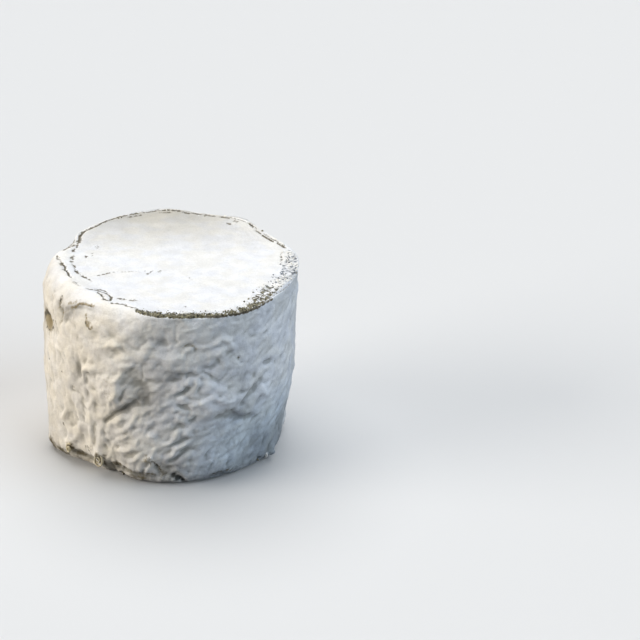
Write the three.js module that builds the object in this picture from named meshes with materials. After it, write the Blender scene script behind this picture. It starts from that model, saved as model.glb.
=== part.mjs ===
// A small drum-shaped cheese wheel with a white, wrinkled rind: one solid piece.
// Millimetres, +Z up, the underside on z = 0. Azimuths are in degrees: 0 is +X (right), -90 is the front.
import * as THREE from "three";

// ---- Driving dimensions ----
const HEIGHT = 66.5;
const RIM_RADIUS = 44.4; // the crust line round the top face
const WALL_RADIUS = 44.1; // the side under the shoulder
const FOOT_RADIUS = 41.3; // the side just above the underside
const TAPER_HEIGHT = 0.62 * HEIGHT; // the side narrows below this

const FOOT_RISE = 6.0; // rounding between the side and the underside: height and reach
const FOOT_REACH = 5.5;
const CRISP_FOOT = { at: -168, half: 10, soft: 8, lessRise: 2.5, lessReach: 2.0 };

const EDGE_HEIGHT = 1.6; // rounding between the side and the top where the rim is crisp
const SHOULDER_HEIGHT = 10.5; // how much deeper it is on the slumped left shoulder
const SHOULDER_POWER = 2.2;
const SHOULDER = { at: 200.5, half: 53.5, soft: 8, inset: 7.2 };
const SHOULDER_FADE = { at: 203, half: 51, soft: 12 };

const TOP_DIP = 0.5; // the top face sinks a little inside its crust line
const DIP_WIDTH = 0.16; // and reaches that depth over this share of the radius
const RIM_WAVE_DEPTH = 14; // the rim's ups and downs reach this far down the side
const RELIEF_FADE_TOP = 5; // wrinkles die out over this height below the rim
const RELIEF_AT_RIM = 0.2; // what is left of them there

// ---- How finely the solid is divided ----
const COLUMNS = 160;
const FOOT_ROWS = 4;
const WALL_ROWS = 25;
const EDGE_ROWS = 4;
const EDGE_BAND = 4.5; // height of the finer rows under the rim
const TOP_RINGS = [0.95, 0.84, 0.5];
const LEAST_FOLD_WIDTH = 1.5; // narrower folds are widened, so that the facets can show them
const MM_PER_DEGREE = (Math.PI / 180) * 43.5; // along the side

// ---- Slow changes of radius round the wheel: azimuth, half-width in degrees, millimetres out ----
const RIM_BULGES = [
  { at: -60, wide: 20, out: 2.4 }, // the top face overhangs at the front right
  { at: -80, wide: 8, out: -0.8 },
  { at: -44, wide: 9, out: -0.9 },
  { at: -98, wide: 7, out: -0.7 },
  { at: -118, wide: 8, out: 2.6 },
  { at: 56, wide: 8, out: 1.8 },
  { at: 33, wide: 16, out: -2.2 }, // flattened at the back right
  { at: 98, wide: 14, out: 1.3 },
  { at: 135, wide: 14, out: -3.0 },
  { at: 157, wide: 5, out: -0.8 }, // the notch at the back left
  { at: 171, wide: 8, out: 1.6 },
];
// How far the crust line stands above or below the mean height of the rim
const RIM_WAVES = [
  { at: -62, wide: 26, out: -0.7 },
  { at: -85, wide: 22, out: 0.6 },
  { at: 90, wide: 9, out: 0.7 },
  { at: 52, wide: 8, out: 0.3 },
  { at: 150, wide: 14, out: -0.5 },
  { at: -140, wide: 22, out: 0.2 },
];
const WALL_BULGES = [
  { at: -62, wide: 28, out: 2.0 },
  { at: 36, wide: 18, out: -1.0 },
  { at: -120, wide: 25, out: 0.6 },
  { at: 90, wide: 30, out: 0.9 },
  { at: 148, wide: 18, out: -2.2 },
];
const FOOT_BULGES = [
  { at: -163, wide: 12, out: 2.4 },
  { at: -136, wide: 9, out: -2.6 },
  { at: -118, wide: 7, out: -2.8 },
  { at: -60, wide: 25, out: -0.7 },
  { at: -46, wide: 8, out: -0.6 },
  { at: -10, wide: 14, out: -1.5 },
];

// ---- Swellings and hollows of the side: azimuth, height, half-width, half-height, millimetres out ----
const SWELLINGS = [
  [0, 42, 30, 16, -0.9], [180, 27, 20, 8, 0.5], [180, 50, 25, 8, -0.3], [-5, 12, 12, 6, -0.6],
  [-116.5, 39, 7, 11, 0.9], [-104, 37.5, 6.5, 7.5, -2.4], [-135.5, 40, 3.8, 4.8, -1.8],
  [-143.5, 18.5, 3.5, 2.5, -0.45], [-144, 58, 5, 3, -1], [-93, 6.5, 7, 3.5, -0.9],
  [-163, 50.3, 6, 3, -1.4], [-123, 2, 4, 5, -1.8], [-148, 6.8, 2, 1.8, 1.2], [-127.5, 8, 2.4, 2, 1.4],
  [-100.5, 11, 2.2, 2, 1.1], [-110, 48, 4, 2.5, 0.4], [-27, 30, 8, 5, 0.6], [-30, 2.6, 2.5, 1.8, 2.2],
  [-69.5, 51.5, 2, 2.2, 0.7], [-45, 34, 35, 15, 0.9], [-71, 32, 8, 4.5, 1.1], [-76, 45, 8, 3, -0.6],
  [-97, 56, 9, 3, -0.5], [-63, 26, 8, 4, -0.7], [-68, 17, 10, 4, 0.6], [-98, 44, 6, 3, -0.6],
  [-90, 50, 7, 3, 0.5], [-103, 16, 7, 4, 0.6], [-90, 30, 6, 4, 0.5], [149, 61, 5, 6, -4.6],
  [-111, 30, 8, 3.5, -0.5],
];

// ---- The larger folds of the rind: half-width, millimetres out, and a route of azimuth and height ----
const FOLDS = [
  { wide: 1, out: 0.9, route: [[-122, 44], [-127, 42.5], [-131, 41], [-132, 37], [-139, 34]] },
  {
    wide: 1.2, out: 0.6,
    route: [[-122.5, 35.5], [-125.5, 32.2], [-129, 28], [-130.3, 24], [-130.5, 17.8], [-131.5, 13.2], [-135.5, 8]]
  },
  {
    wide: 0.8, out: -0.45,
    route: [[-125, 25.2], [-127.5, 21.5], [-129, 17], [-129.5, 13.2], [-133.5, 10]]
  },
  { wide: 1.1, out: 0.3, route: [[-122.5, 23.5], [-124.5, 19], [-126, 13]] },
  { wide: 2, out: -0.4, route: [[-132, 32], [-133.5, 25.5], [-136.5, 18.2]] },
  { wide: 0.9, out: 0.8, route: [[-138, 18.5], [-139.5, 13.2], [-144, 10], [-148, 7.8]] },
  { wide: 0.7, out: -0.4, route: [[-141.5, 22.5], [-146, 19], [-149, 15]] },
  {
    wide: 1.1, out: -1.8,
    route: [[-121, 23.8], [-118, 25.6], [-115, 28.4], [-112.5, 29], [-109.5, 31.8], [-105, 32.4]]
  },
  { wide: 1.1, out: 0.8, route: [[-119.5, 52.5], [-116, 53.8], [-111, 54]] },
  {
    wide: 1.3, out: 0.9,
    route: [[-102.5, 49.5], [-107, 47.2], [-111.5, 44], [-113.6, 40], [-113.8, 35.5], [-115, 31.5], [-118.8, 27]]
  },
  { wide: 1, out: -1.5, route: [[-148, 4.6], [-142, 4.6], [-136, 4.4], [-131, 5.5]] },
  { wide: 1.1, out: 1, route: [[-143, 1.8], [-136, 2], [-130, 2.6]] },
  { wide: 1.3, out: -1.4, route: [[-121, 4.2], [-110, 4.2], [-99, 3.6]] },
  { wide: 1.3, out: 0.8, route: [[-120, 19], [-113, 21], [-104, 26.5]] },
  { wide: 1.2, out: 0.8, route: [[-119, 22.5], [-112, 26], [-106, 29]] },
  { wide: 0.9, out: 0.8, route: [[-120, 11], [-112, 13], [-105, 16]] },
  { wide: 0.9, out: 0.7, route: [[-115, 7.8], [-107, 10.5], [-101, 14.5]] },
  { wide: 1.3, out: 0.9, route: [[-103, 27], [-101, 31], [-95, 33.5]] },
  { wide: 1.1, out: 0.8, route: [[-90, 37], [-86, 40.5], [-80, 43]] },
  { wide: 0.8, out: -1.1, route: [[-88, 37.5], [-83.5, 40]] },
  { wide: 1.4, out: 0.9, route: [[-81, 41], [-76, 42], [-72, 40]] },
  { wide: 1.7, out: 1, route: [[-77, 35.5], [-72, 36.5], [-67, 34.5], [-61, 33.5]] },
  { wide: 1.2, out: -1.2, route: [[-87, 34], [-80, 31.5]] },
  { wide: 1.1, out: 0.9, route: [[-90, 20.5], [-86, 22.5], [-80, 21.5]] },
  { wide: 0.9, out: 0.9, route: [[-91, 11.5], [-87, 15.5], [-80, 19]] },
  { wide: 0.8, out: -0.9, route: [[-92, 9.8], [-87, 12.5], [-82, 16]] },
  { wide: 0.9, out: 0.9, route: [[-74, 55], [-69, 57], [-64.5, 56.2], [-63, 53]] },
  { wide: 1.5, out: -0.6, route: [[-101, 57.5], [-93, 57.2], [-85, 57.5]] },
  { wide: 1.6, out: -1.1, route: [[-75, 29], [-65, 29], [-56, 26], [-48, 22]] },
  { wide: 1.2, out: -1, route: [[-60, 31], [-53, 36], [-46, 40]] },
  { wide: 1.3, out: 0.9, route: [[-49.5, 37], [-47, 33], [-42, 29]] },
  { wide: 0.9, out: -0.9, route: [[-48, 44.3], [-43, 43.8], [-39, 42.2]] },
  { wide: 0.8, out: 0.9, route: [[-88, 7.6], [-82.5, 4.8], [-77, 4.8]] },
  { wide: 0.8, out: -1.6, route: [[-90, 5.2], [-86.5, 3.7], [-82.5, 1.6]] },
];
// The lower side of a fold or wrinkle is steeper than its upper side: these are shares of its half-width.
// A fold's lower side is the one that lies to the right of it and down, by these weights.
const FOLD_STEEP = 0.65;
const FOLD_GENTLE = 1.45;
const WRINKLE_STEEP = 0.7;
const RIGHT = 0.5;
const DOWN = 0.85;

// ---- The smaller wrinkles, scattered by a seeded draw along the rind's flow ----
const WRINKLES = {
  count: 820,
  seed: 7,
  lowest: 2,
  highest: HEIGHT - 4,
  jitter: 2,
  turn: 60, // degrees either way, in all
  shortest: 2.4,
  longer: 3.6,
  narrowest: 0.8,
  wider: 0.9,
  lowestOut: 0.18,
  moreOut: 0.32,
  inward: 0.2, // this share are grooves
  bend: 0.16,
  trough: 0.45, // the groove beside each wrinkle, as a share of its height
};
// Tilt of the wrinkles, in degrees up from level, at places given by azimuth and height
const FLOW = [
  [-180, 50, 125], [-175, 20, 120], [-155, 45, 115], [-150, 15, 105], [-132, 30, 95], [-128, 8, 100],
  [-118, 48, 15], [-112, 22, 38], [-105, 10, 35], [-90, 50, 5], [-88, 30, 10], [-85, 10, 35], [-62, 50, 20],
  [-60, 30, 25], [-60, 10, 45], [-38, 50, 40], [-36, 30, 50], [-35, 10, 50], [-12, 50, 70], [-10, 25, 60],
  [15, 45, 60], [20, 15, 40], [50, 45, 30], [52, 15, 15], [85, 50, 175], [85, 20, 5], [115, 45, 160],
  [120, 15, 170], [145, 45, 140], [150, 15, 150],
];
const FLOW_REACH = { degrees: 16, high: 14 };
// How strong the wrinkles are, by azimuth, and the calm band under the front rim
const LIVELINESS = [
  [-180, 0.5], [-160, 0.5], [-145, 0.55], [-130, 0.62], [-114, 0.95], [-80, 0.95], [-60, 0.9], [-45, 0.8],
  [-30, 0.75], [-15, 0.65], [30, 0.8], [90, 0.9], [140, 0.8],
];
const CALM_BAND = { at: -95, half: 33, soft: 10 };
const CALM_HEIGHT = 57;
const CALM_KEPT = 0.5;

const RADIANS = Math.PI / 180;
const degreesBetween = (a, b) => ((((a - b + 180) % 360) + 360) % 360) - 180;
const bell = (distance) => Math.exp(-distance * distance);
const clamp = (t) => Math.min(Math.max(t, 0), 1);
const smooth = (t) => clamp(t) ** 2 * (3 - 2 * clamp(t));

// 1 inside a stretch of azimuth, 0 outside it, with soft ends.
function stretch(azimuth, { at, half, soft }) {
  return smooth((half + soft - Math.abs(degreesBetween(azimuth, at))) / (2 * soft));
}

function withBulges(radius, bulges, azimuth) {
  return bulges.reduce((r, b) => r + b.out * bell(degreesBetween(azimuth, b.at) / b.wide), radius);
}

function rimRadius(azimuth) {
  return withBulges(RIM_RADIUS, RIM_BULGES, azimuth) - SHOULDER.inset * stretch(azimuth, SHOULDER);
}

// The even side, before its relief: foot rounding, taper and shoulder.
function sideRadius(azimuth, z) {
  const wall = withBulges(WALL_RADIUS, WALL_BULGES, azimuth);
  const foot = withBulges(FOOT_RADIUS, FOOT_BULGES, azimuth);
  let radius = foot + (wall - foot) * smooth(z / TAPER_HEIGHT);
  const shoulder = EDGE_HEIGHT + SHOULDER_HEIGHT * stretch(azimuth, SHOULDER_FADE);
  const up = clamp((z - HEIGHT + shoulder) / shoulder);
  radius -= (wall - rimRadius(azimuth)) * (1 - (1 - up ** SHOULDER_POWER) ** (1 / SHOULDER_POWER));
  const crisp = stretch(azimuth, CRISP_FOOT);
  const rise = FOOT_RISE - CRISP_FOOT.lessRise * crisp;
  const reach = FOOT_REACH - CRISP_FOOT.lessReach * crisp;
  const down = clamp((rise - z) / rise);
  return radius - reach * (1 - Math.sqrt(1 - down * down));
}

function swellingAt(azimuth, z) {
  return SWELLINGS.reduce(
    (sum, [at, high, wide, tall, out]) =>
      sum + out * bell(degreesBetween(azimuth, at) / wide) * bell((z - high) / tall),
    0,
  );
}

// How far a fold lifts the rind at a place: a rounded bead along its route that dies out at both ends.
function foldLift(fold, azimuth, z) {
  const points = fold.route.map(([a, h]) => [degreesBetween(a, azimuth) * MM_PER_DEGREE, h - z]);
  const lengths = points.slice(1).map((p, i) => Math.hypot(p[0] - points[i][0], p[1] - points[i][1]));
  const total = lengths.reduce((a, b) => a + b, 0);
  let nearest = Infinity;
  let along = 0;
  let before = 0;
  let below = false;
  lengths.forEach((length, i) => {
    const [x0, y0] = points[i];
    const [dx, dy] = [points[i + 1][0] - x0, points[i + 1][1] - y0];
    const t = clamp(-(x0 * dx + y0 * dy) / (length * length));
    const distance = Math.hypot(x0 + t * dx, y0 + t * dy);
    if (distance < nearest) {
      nearest = distance;
      along = (before + t * length) / total;
      below = (y0 * dx - x0 * dy) * (RIGHT * dy + DOWN * dx) > 0;
    }
    before += length;
  });
  const share = below === fold.out > 0 ? FOLD_STEEP : FOLD_GENTLE;
  const width = Math.max(fold.wide * share, LEAST_FOLD_WIDTH);
  const ends = 0.35 + 0.65 * smooth(Math.min(along, 1 - along) / 0.25);
  return fold.out * ends * bell(nearest / width);
}

// A generator of even draws from 0 to 1 that gives the same row each time.
function draws(seed) {
  let state = seed;
  return () => {
    state = (state * 1664525 + 1013904223) % 4294967296;
    return state / 4294967296;
  };
}

// Which way the wrinkles run: tilts are averaged as double angles, so that 175 and 5 degrees agree.
function flowTilt(azimuth, z) {
  let across = 0;
  let up = 0;
  for (const [at, high, tilt] of FLOW) {
    const a = degreesBetween(azimuth, at) / FLOW_REACH.degrees;
    const h = (z - high) / FLOW_REACH.high;
    const weight = Math.exp(-(a * a + h * h) / 2) + 1e-6;
    across += weight * Math.cos(2 * tilt * RADIANS);
    up += weight * Math.sin(2 * tilt * RADIANS);
  }
  return Math.atan2(up, across) / 2;
}

// Wrinkles spread evenly over the side by a low-discrepancy sequence, then jittered.
function scatterWrinkles() {
  const w = WRINKLES;
  const draw = draws(w.seed);
  const plastic = 1.32471795724;
  return Array.from({ length: w.count }, (_, i) => {
    const u = (0.5 + (i + 1) / plastic) % 1;
    const v = (0.5 + (i + 1) / (plastic * plastic)) % 1;
    const azimuth = -180 + 360 * u + (draw() - 0.5) * w.jitter;
    const z = w.lowest + v * (w.highest - w.lowest) + (draw() - 0.5) * w.jitter;
    const tilt = flowTilt(azimuth, z) + (draw() - 0.5) * w.turn * RADIANS;
    const length = w.shortest + w.longer * draw();
    const wide = w.narrowest + w.wider * draw();
    const height = w.lowestOut + w.moreOut * draw();
    const out = draw() < w.inward ? -height : height;
    const bend = (draw() - 0.5) * w.bend;
    return { azimuth, z, cos: Math.cos(tilt), sin: Math.sin(tilt), length, wide, out, bend };
  });
}
const wrinkles = scatterWrinkles();

function wrinkleLift(azimuth, z) {
  let lift = 0;
  for (const w of wrinkles) {
    const x = degreesBetween(azimuth, w.azimuth) * MM_PER_DEGREE;
    const y = z - w.z;
    if (Math.abs(x) > 16 || Math.abs(y) > 16) continue;
    const wide = Math.max(w.wide, LEAST_FOLD_WIDTH);
    const steep = Math.max(WRINKLE_STEEP * w.wide, LEAST_FOLD_WIDTH);
    const along = x * w.cos + y * w.sin;
    const across = y * w.cos - x * w.sin - w.bend * along * along;
    const ridge = bell(across / (across > 0 ? wide : steep));
    const groove = WRINKLES.trough * bell((across + 1.3 * wide) / steep);
    lift += w.out * bell((1.1 * along) / w.length) * (ridge - groove);
  }
  return lift;
}

// Values between the rows of LIVELINESS, made smaller in the calm band.
function liveliness(azimuth, z) {
  const turned = ((azimuth + 540) % 360) - 180;
  const rows = [...LIVELINESS, [LIVELINESS[0][0] + 360, LIVELINESS[0][1]]];
  const i = rows.findIndex(([at]) => at > turned) - 1;
  const [[a0, v0], [a1, v1]] = [rows[i], rows[i + 1]];
  const strong = v0 + ((v1 - v0) * (turned - a0)) / (a1 - a0);
  const calm = stretch(azimuth, CALM_BAND) * smooth((z - CALM_HEIGHT) / 3 + 0.5);
  return strong * (1 - (1 - CALM_KEPT) * calm);
}

// The side's radius with its relief, which dies out towards the rim.
function rindRadius(azimuth, z) {
  const kept = RELIEF_AT_RIM + (1 - RELIEF_AT_RIM) * smooth((HEIGHT - z) / RELIEF_FADE_TOP);
  const folds = FOLDS.reduce((sum, fold) => sum + foldLift(fold, azimuth, z), 0);
  const wrinkled = liveliness(azimuth, z) * wrinkleLift(azimuth, z);
  return sideRadius(azimuth, z) + kept * (swellingAt(azimuth, z) + folds + wrinkled);
}

// Heights of the rows of corners, from the underside up to the rim.
function rowHeights() {
  const heights = [];
  for (let i = 0; i < FOOT_ROWS; i++) {
    heights.push(FOOT_RISE * (1 - Math.cos((i / FOOT_ROWS) * (Math.PI / 2))));
  }
  const top = HEIGHT - EDGE_BAND;
  for (let i = 0; i < WALL_ROWS; i++) heights.push(FOOT_RISE + ((top - FOOT_RISE) * i) / WALL_ROWS);
  for (let i = 0; i <= EDGE_ROWS; i++) {
    heights.push(top + EDGE_BAND * Math.sin((i / EDGE_ROWS) * (Math.PI / 2)));
  }
  return heights;
}

// Rings of corners, as a radius and a height for each azimuth: up the side, then inwards over the top face.
function rings() {
  const rimHeight = (azimuth) => withBulges(HEIGHT, RIM_WAVES, azimuth);
  const rows = rowHeights().map((z) => (azimuth) => ({
    radius: rindRadius(azimuth, z),
    z: z + (rimHeight(azimuth) - HEIGHT) * smooth((z - HEIGHT + RIM_WAVE_DEPTH) / RIM_WAVE_DEPTH),
  }));
  const top = TOP_RINGS.map((share) => (azimuth) => ({
    radius: share * rindRadius(azimuth, HEIGHT),
    z: HEIGHT + (rimHeight(azimuth) - HEIGHT) * share ** 4 - TOP_DIP * smooth((1 - share) / DIP_WIDTH),
  }));
  return [...rows, ...top];
}

// Closes the rings into one solid, with a flat fan for the underside and one at the middle of the top.
function wheelGeometry() {
  const corners = [];
  const all = rings();
  for (const ring of all) {
    for (let i = 0; i < COLUMNS; i++) {
      const azimuth = -180 + (360 * i) / COLUMNS;
      const { radius, z } = ring(azimuth);
      corners.push(radius * Math.cos(azimuth * RADIANS), radius * Math.sin(azimuth * RADIANS), z);
    }
  }
  const faces = [];
  const bottomMiddle = all.length * COLUMNS;
  corners.push(0, 0, 0, 0, 0, HEIGHT - TOP_DIP);
  for (let i = 0; i < COLUMNS; i++) {
    const next = (i + 1) % COLUMNS;
    for (let r = 0; r + 1 < all.length; r++) {
      const [a, b] = [r * COLUMNS + i, r * COLUMNS + next];
      const [c, d] = [b + COLUMNS, a + COLUMNS];
      if ((i + r) % 2) faces.push(a, b, c, a, c, d);
      else faces.push(a, b, d, b, c, d);
    }
    const last = (all.length - 1) * COLUMNS;
    faces.push(bottomMiddle, next, i, bottomMiddle + 1, last + i, last + next);
  }
  const geometry = new THREE.BufferGeometry();
  geometry.setAttribute("position", new THREE.Float32BufferAttribute(corners, 3));
  geometry.setIndex(faces);
  centreOnAxis(geometry);
  geometry.computeVertexNormals();
  return geometry;
}

// Moves the wheel so that the middle of its outer box is over the origin.
function centreOnAxis(geometry) {
  geometry.computeBoundingBox();
  const middle = geometry.boundingBox.getCenter(new THREE.Vector3());
  geometry.translate(-middle.x, -middle.y, 0);
}

const rind = new THREE.MeshStandardMaterial({ color: 0xe4ddce, roughness: 0.85, metalness: 0 });
const wheel = new THREE.Mesh(wheelGeometry(), rind);
wheel.name = "cheese_wheel";

const part = new THREE.Group();
part.add(wheel);

export default part;
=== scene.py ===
"""A small drum-shaped cheese wheel with a white, wrinkled mould rind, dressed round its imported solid.

The wheel's form is worked out in millimetres from the same named sizes as its solid, then made finer:
wrinkles, crumbs, curled scraps and a torn crust line. Azimuths are in degrees, 0 to the right (+X) and
-90 at the front. Blender's own units are metres.
"""

import math

import bmesh
import bpy
import numpy as np
from mathutils import Euler, Matrix, Vector, noise


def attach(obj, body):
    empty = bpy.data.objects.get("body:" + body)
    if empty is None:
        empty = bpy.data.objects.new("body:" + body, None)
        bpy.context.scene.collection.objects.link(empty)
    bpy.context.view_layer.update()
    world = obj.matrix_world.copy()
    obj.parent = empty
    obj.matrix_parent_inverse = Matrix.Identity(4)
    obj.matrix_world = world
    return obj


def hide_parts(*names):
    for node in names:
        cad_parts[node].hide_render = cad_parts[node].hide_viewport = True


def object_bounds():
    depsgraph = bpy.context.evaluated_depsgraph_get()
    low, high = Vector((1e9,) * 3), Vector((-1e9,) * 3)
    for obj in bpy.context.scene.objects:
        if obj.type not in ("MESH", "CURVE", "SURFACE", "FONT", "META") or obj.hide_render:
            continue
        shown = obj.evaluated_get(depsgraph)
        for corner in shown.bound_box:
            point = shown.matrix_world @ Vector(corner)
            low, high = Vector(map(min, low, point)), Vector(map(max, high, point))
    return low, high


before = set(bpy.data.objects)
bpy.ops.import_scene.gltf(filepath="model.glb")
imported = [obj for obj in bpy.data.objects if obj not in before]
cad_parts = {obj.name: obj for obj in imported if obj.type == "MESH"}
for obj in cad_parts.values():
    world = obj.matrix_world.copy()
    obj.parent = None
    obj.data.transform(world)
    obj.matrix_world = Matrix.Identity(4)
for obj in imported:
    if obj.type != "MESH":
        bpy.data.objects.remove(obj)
CAD_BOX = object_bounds()

MM = 0.001
NODE = "cheese_wheel"

# ---- Driving dimensions, in millimetres, as in the solid ----
HEIGHT = 66.5
RIM_RADIUS = 44.4
WALL_RADIUS = 44.1
FOOT_RADIUS = 41.3
TAPER_HEIGHT = 0.62 * HEIGHT
# The foot is rounded over this height and depth, and less so where it is crisp
FOOT_RISE, FOOT_REACH = 6, 5.5
CRISP_FOOT = dict(at=-168, half=10, soft=8)
CRISP_LESS_RISE, CRISP_LESS_REACH = 2.5, 2
EDGE_HEIGHT, SHOULDER_HEIGHT, SHOULDER_POWER = 1.6, 10.5, 2.2
SHOULDER = dict(at=200.5, half=53.5, soft=8)
SHOULDER_INSET = 7.2
SHOULDER_FADE = dict(at=203, half=51, soft=12)
TOP_DIP, DIP_WIDTH = 0.5, 0.16
# The rim's waves fade down the side over this depth, and towards the middle of the top by this power
RIM_WAVE_DEPTH, RIM_WAVE_POWER = 14, 4
# The side's relief fades over this height below the rim, to this share of it
RELIEF_FADE_TOP, RELIEF_AT_RIM = 5, 0.2
CREST = 0.8  # the top face's cracks run on over the shoulder where it is less than this far below the rim
RELIEF_RADIUS = 43.5
MM_PER_DEGREE = math.radians(1) * RELIEF_RADIUS

# Slow changes round the wheel: azimuth, half-width in degrees, millimetres
RIM_BULGES = [
    (-60, 20, 2.4), (-80, 8, -0.8), (-44, 9, -0.9), (-98, 7, -0.7), (-118, 8, 2.6), (56, 8, 1.8),
    (33, 16, -2.2), (98, 14, 1.3), (135, 14, -3), (157, 5, -0.8), (171, 8, 1.6),
]
RIM_WAVES = [
    (-62, 26, -0.7), (-85, 22, 0.6), (90, 9, 0.7), (52, 8, 0.3), (150, 14, -0.5), (-140, 22, 0.2),
]
WALL_BULGES = [
    (-62, 28, 2), (36, 18, -1), (-120, 25, 0.6), (90, 30, 0.9), (148, 18, -2.2),
]
FOOT_BULGES = [
    (-163, 12, 2.4), (-136, 9, -2.6), (-118, 7, -2.8), (-60, 25, -0.7), (-46, 8, -0.6), (-10, 14, -1.5),
]

# Swellings and hollows of the side: azimuth, height, half-width in degrees, half-height, millimetres out
SWELLINGS = [
    (0, 42, 30, 16, -0.9), (180, 27, 20, 8, 0.5), (180, 50, 25, 8, -0.3), (-5, 12, 12, 6, -0.6),
    (-116.5, 39, 7, 11, 0.9), (-104, 37.5, 6.5, 7.5, -2.4), (-135.5, 40, 3.8, 4.8, -1.8),
    (-143.5, 18.5, 3.5, 2.5, -0.45), (-144, 58, 5, 3, -1), (-93, 6.5, 7, 3.5, -0.9), (-163, 50.3, 6, 3, -1.4),
    (-123, 2, 4, 5, -1.8), (-148, 6.8, 2, 1.8, 1.2), (-127.5, 8, 2.4, 2, 1.4), (-100.5, 11, 2.2, 2, 1.1),
    (-110, 48, 4, 2.5, 0.4), (-27, 30, 8, 5, 0.6), (-30, 2.6, 2.5, 1.8, 2.2), (-69.5, 51.5, 2, 2.2, 0.7),
    (-45, 34, 35, 15, 0.9), (-71, 32, 8, 4.5, 1.1), (-76, 45, 8, 3, -0.6), (-97, 56, 9, 3, -0.5),
    (-63, 26, 8, 4, -0.7), (-68, 17, 10, 4, 0.6), (-98, 44, 6, 3, -0.6), (-90, 50, 7, 3, 0.5),
    (-103, 16, 7, 4, 0.6), (-90, 30, 6, 4, 0.5), (149, 61, 5, 6, -4.6), (-111, 30, 8, 3.5, -0.5),
]

# The larger folds: half-width, millimetres out, and a route of azimuth and height
FOLDS = [
    (1, 0.9, [(-122, 44), (-127, 42.5), (-131, 41), (-132, 37), (-139, 34)]),
    (1.2, 0.6, [(-122.5, 35.5), (-125.5, 32.2), (-129, 28), (-130.3, 24), (-130.5, 17.8), (-131.5, 13.2),
        (-135.5, 8)]),
    (0.8, -0.45, [(-125, 25.2), (-127.5, 21.5), (-129, 17), (-129.5, 13.2), (-133.5, 10)]),
    (1.1, 0.3, [(-122.5, 23.5), (-124.5, 19), (-126, 13)]),
    (2, -0.4, [(-132, 32), (-133.5, 25.5), (-136.5, 18.2)]),
    (0.9, 0.8, [(-138, 18.5), (-139.5, 13.2), (-144, 10), (-148, 7.8)]),
    (0.7, -0.4, [(-141.5, 22.5), (-146, 19), (-149, 15)]),
    (1.1, -1.8, [(-121, 23.8), (-118, 25.6), (-115, 28.4), (-112.5, 29), (-109.5, 31.8), (-105, 32.4)]),
    (1.1, 0.8, [(-119.5, 52.5), (-116, 53.8), (-111, 54)]),
    (1.3, 0.9, [(-102.5, 49.5), (-107, 47.2), (-111.5, 44), (-113.6, 40), (-113.8, 35.5), (-115, 31.5),
        (-118.8, 27)]),
    (1, -1.5, [(-148, 4.6), (-142, 4.6), (-136, 4.4), (-131, 5.5)]),
    (1.1, 1, [(-143, 1.8), (-136, 2), (-130, 2.6)]),
    (1.3, -1.4, [(-121, 4.2), (-110, 4.2), (-99, 3.6)]),
    (1.3, 0.8, [(-120, 19), (-113, 21), (-104, 26.5)]),
    (1.2, 0.8, [(-119, 22.5), (-112, 26), (-106, 29)]),
    (0.9, 0.8, [(-120, 11), (-112, 13), (-105, 16)]),
    (0.9, 0.7, [(-115, 7.8), (-107, 10.5), (-101, 14.5)]),
    (1.3, 0.9, [(-103, 27), (-101, 31), (-95, 33.5)]),
    (1.1, 0.8, [(-90, 37), (-86, 40.5), (-80, 43)]),
    (0.8, -1.1, [(-88, 37.5), (-83.5, 40)]),
    (1.4, 0.9, [(-81, 41), (-76, 42), (-72, 40)]),
    (1.7, 1, [(-77, 35.5), (-72, 36.5), (-67, 34.5), (-61, 33.5)]),
    (1.2, -1.2, [(-87, 34), (-80, 31.5)]),
    (1.1, 0.9, [(-90, 20.5), (-86, 22.5), (-80, 21.5)]),
    (0.9, 0.9, [(-91, 11.5), (-87, 15.5), (-80, 19)]),
    (0.8, -0.9, [(-92, 9.8), (-87, 12.5), (-82, 16)]),
    (0.9, 0.9, [(-74, 55), (-69, 57), (-64.5, 56.2), (-63, 53)]),
    (1.5, -0.6, [(-101, 57.5), (-93, 57.2), (-85, 57.5)]),
    (1.6, -1.1, [(-75, 29), (-65, 29), (-56, 26), (-48, 22)]),
    (1.2, -1, [(-60, 31), (-53, 36), (-46, 40)]),
    (1.3, 0.9, [(-49.5, 37), (-47, 33), (-42, 29)]),
    (0.9, -0.9, [(-48, 44.3), (-43, 43.8), (-39, 42.2)]),
    (0.8, 0.9, [(-88, 7.6), (-82.5, 4.8), (-77, 4.8)]),
    (0.8, -1.6, [(-90, 5.2), (-86.5, 3.7), (-82.5, 1.6)]),
]
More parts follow.
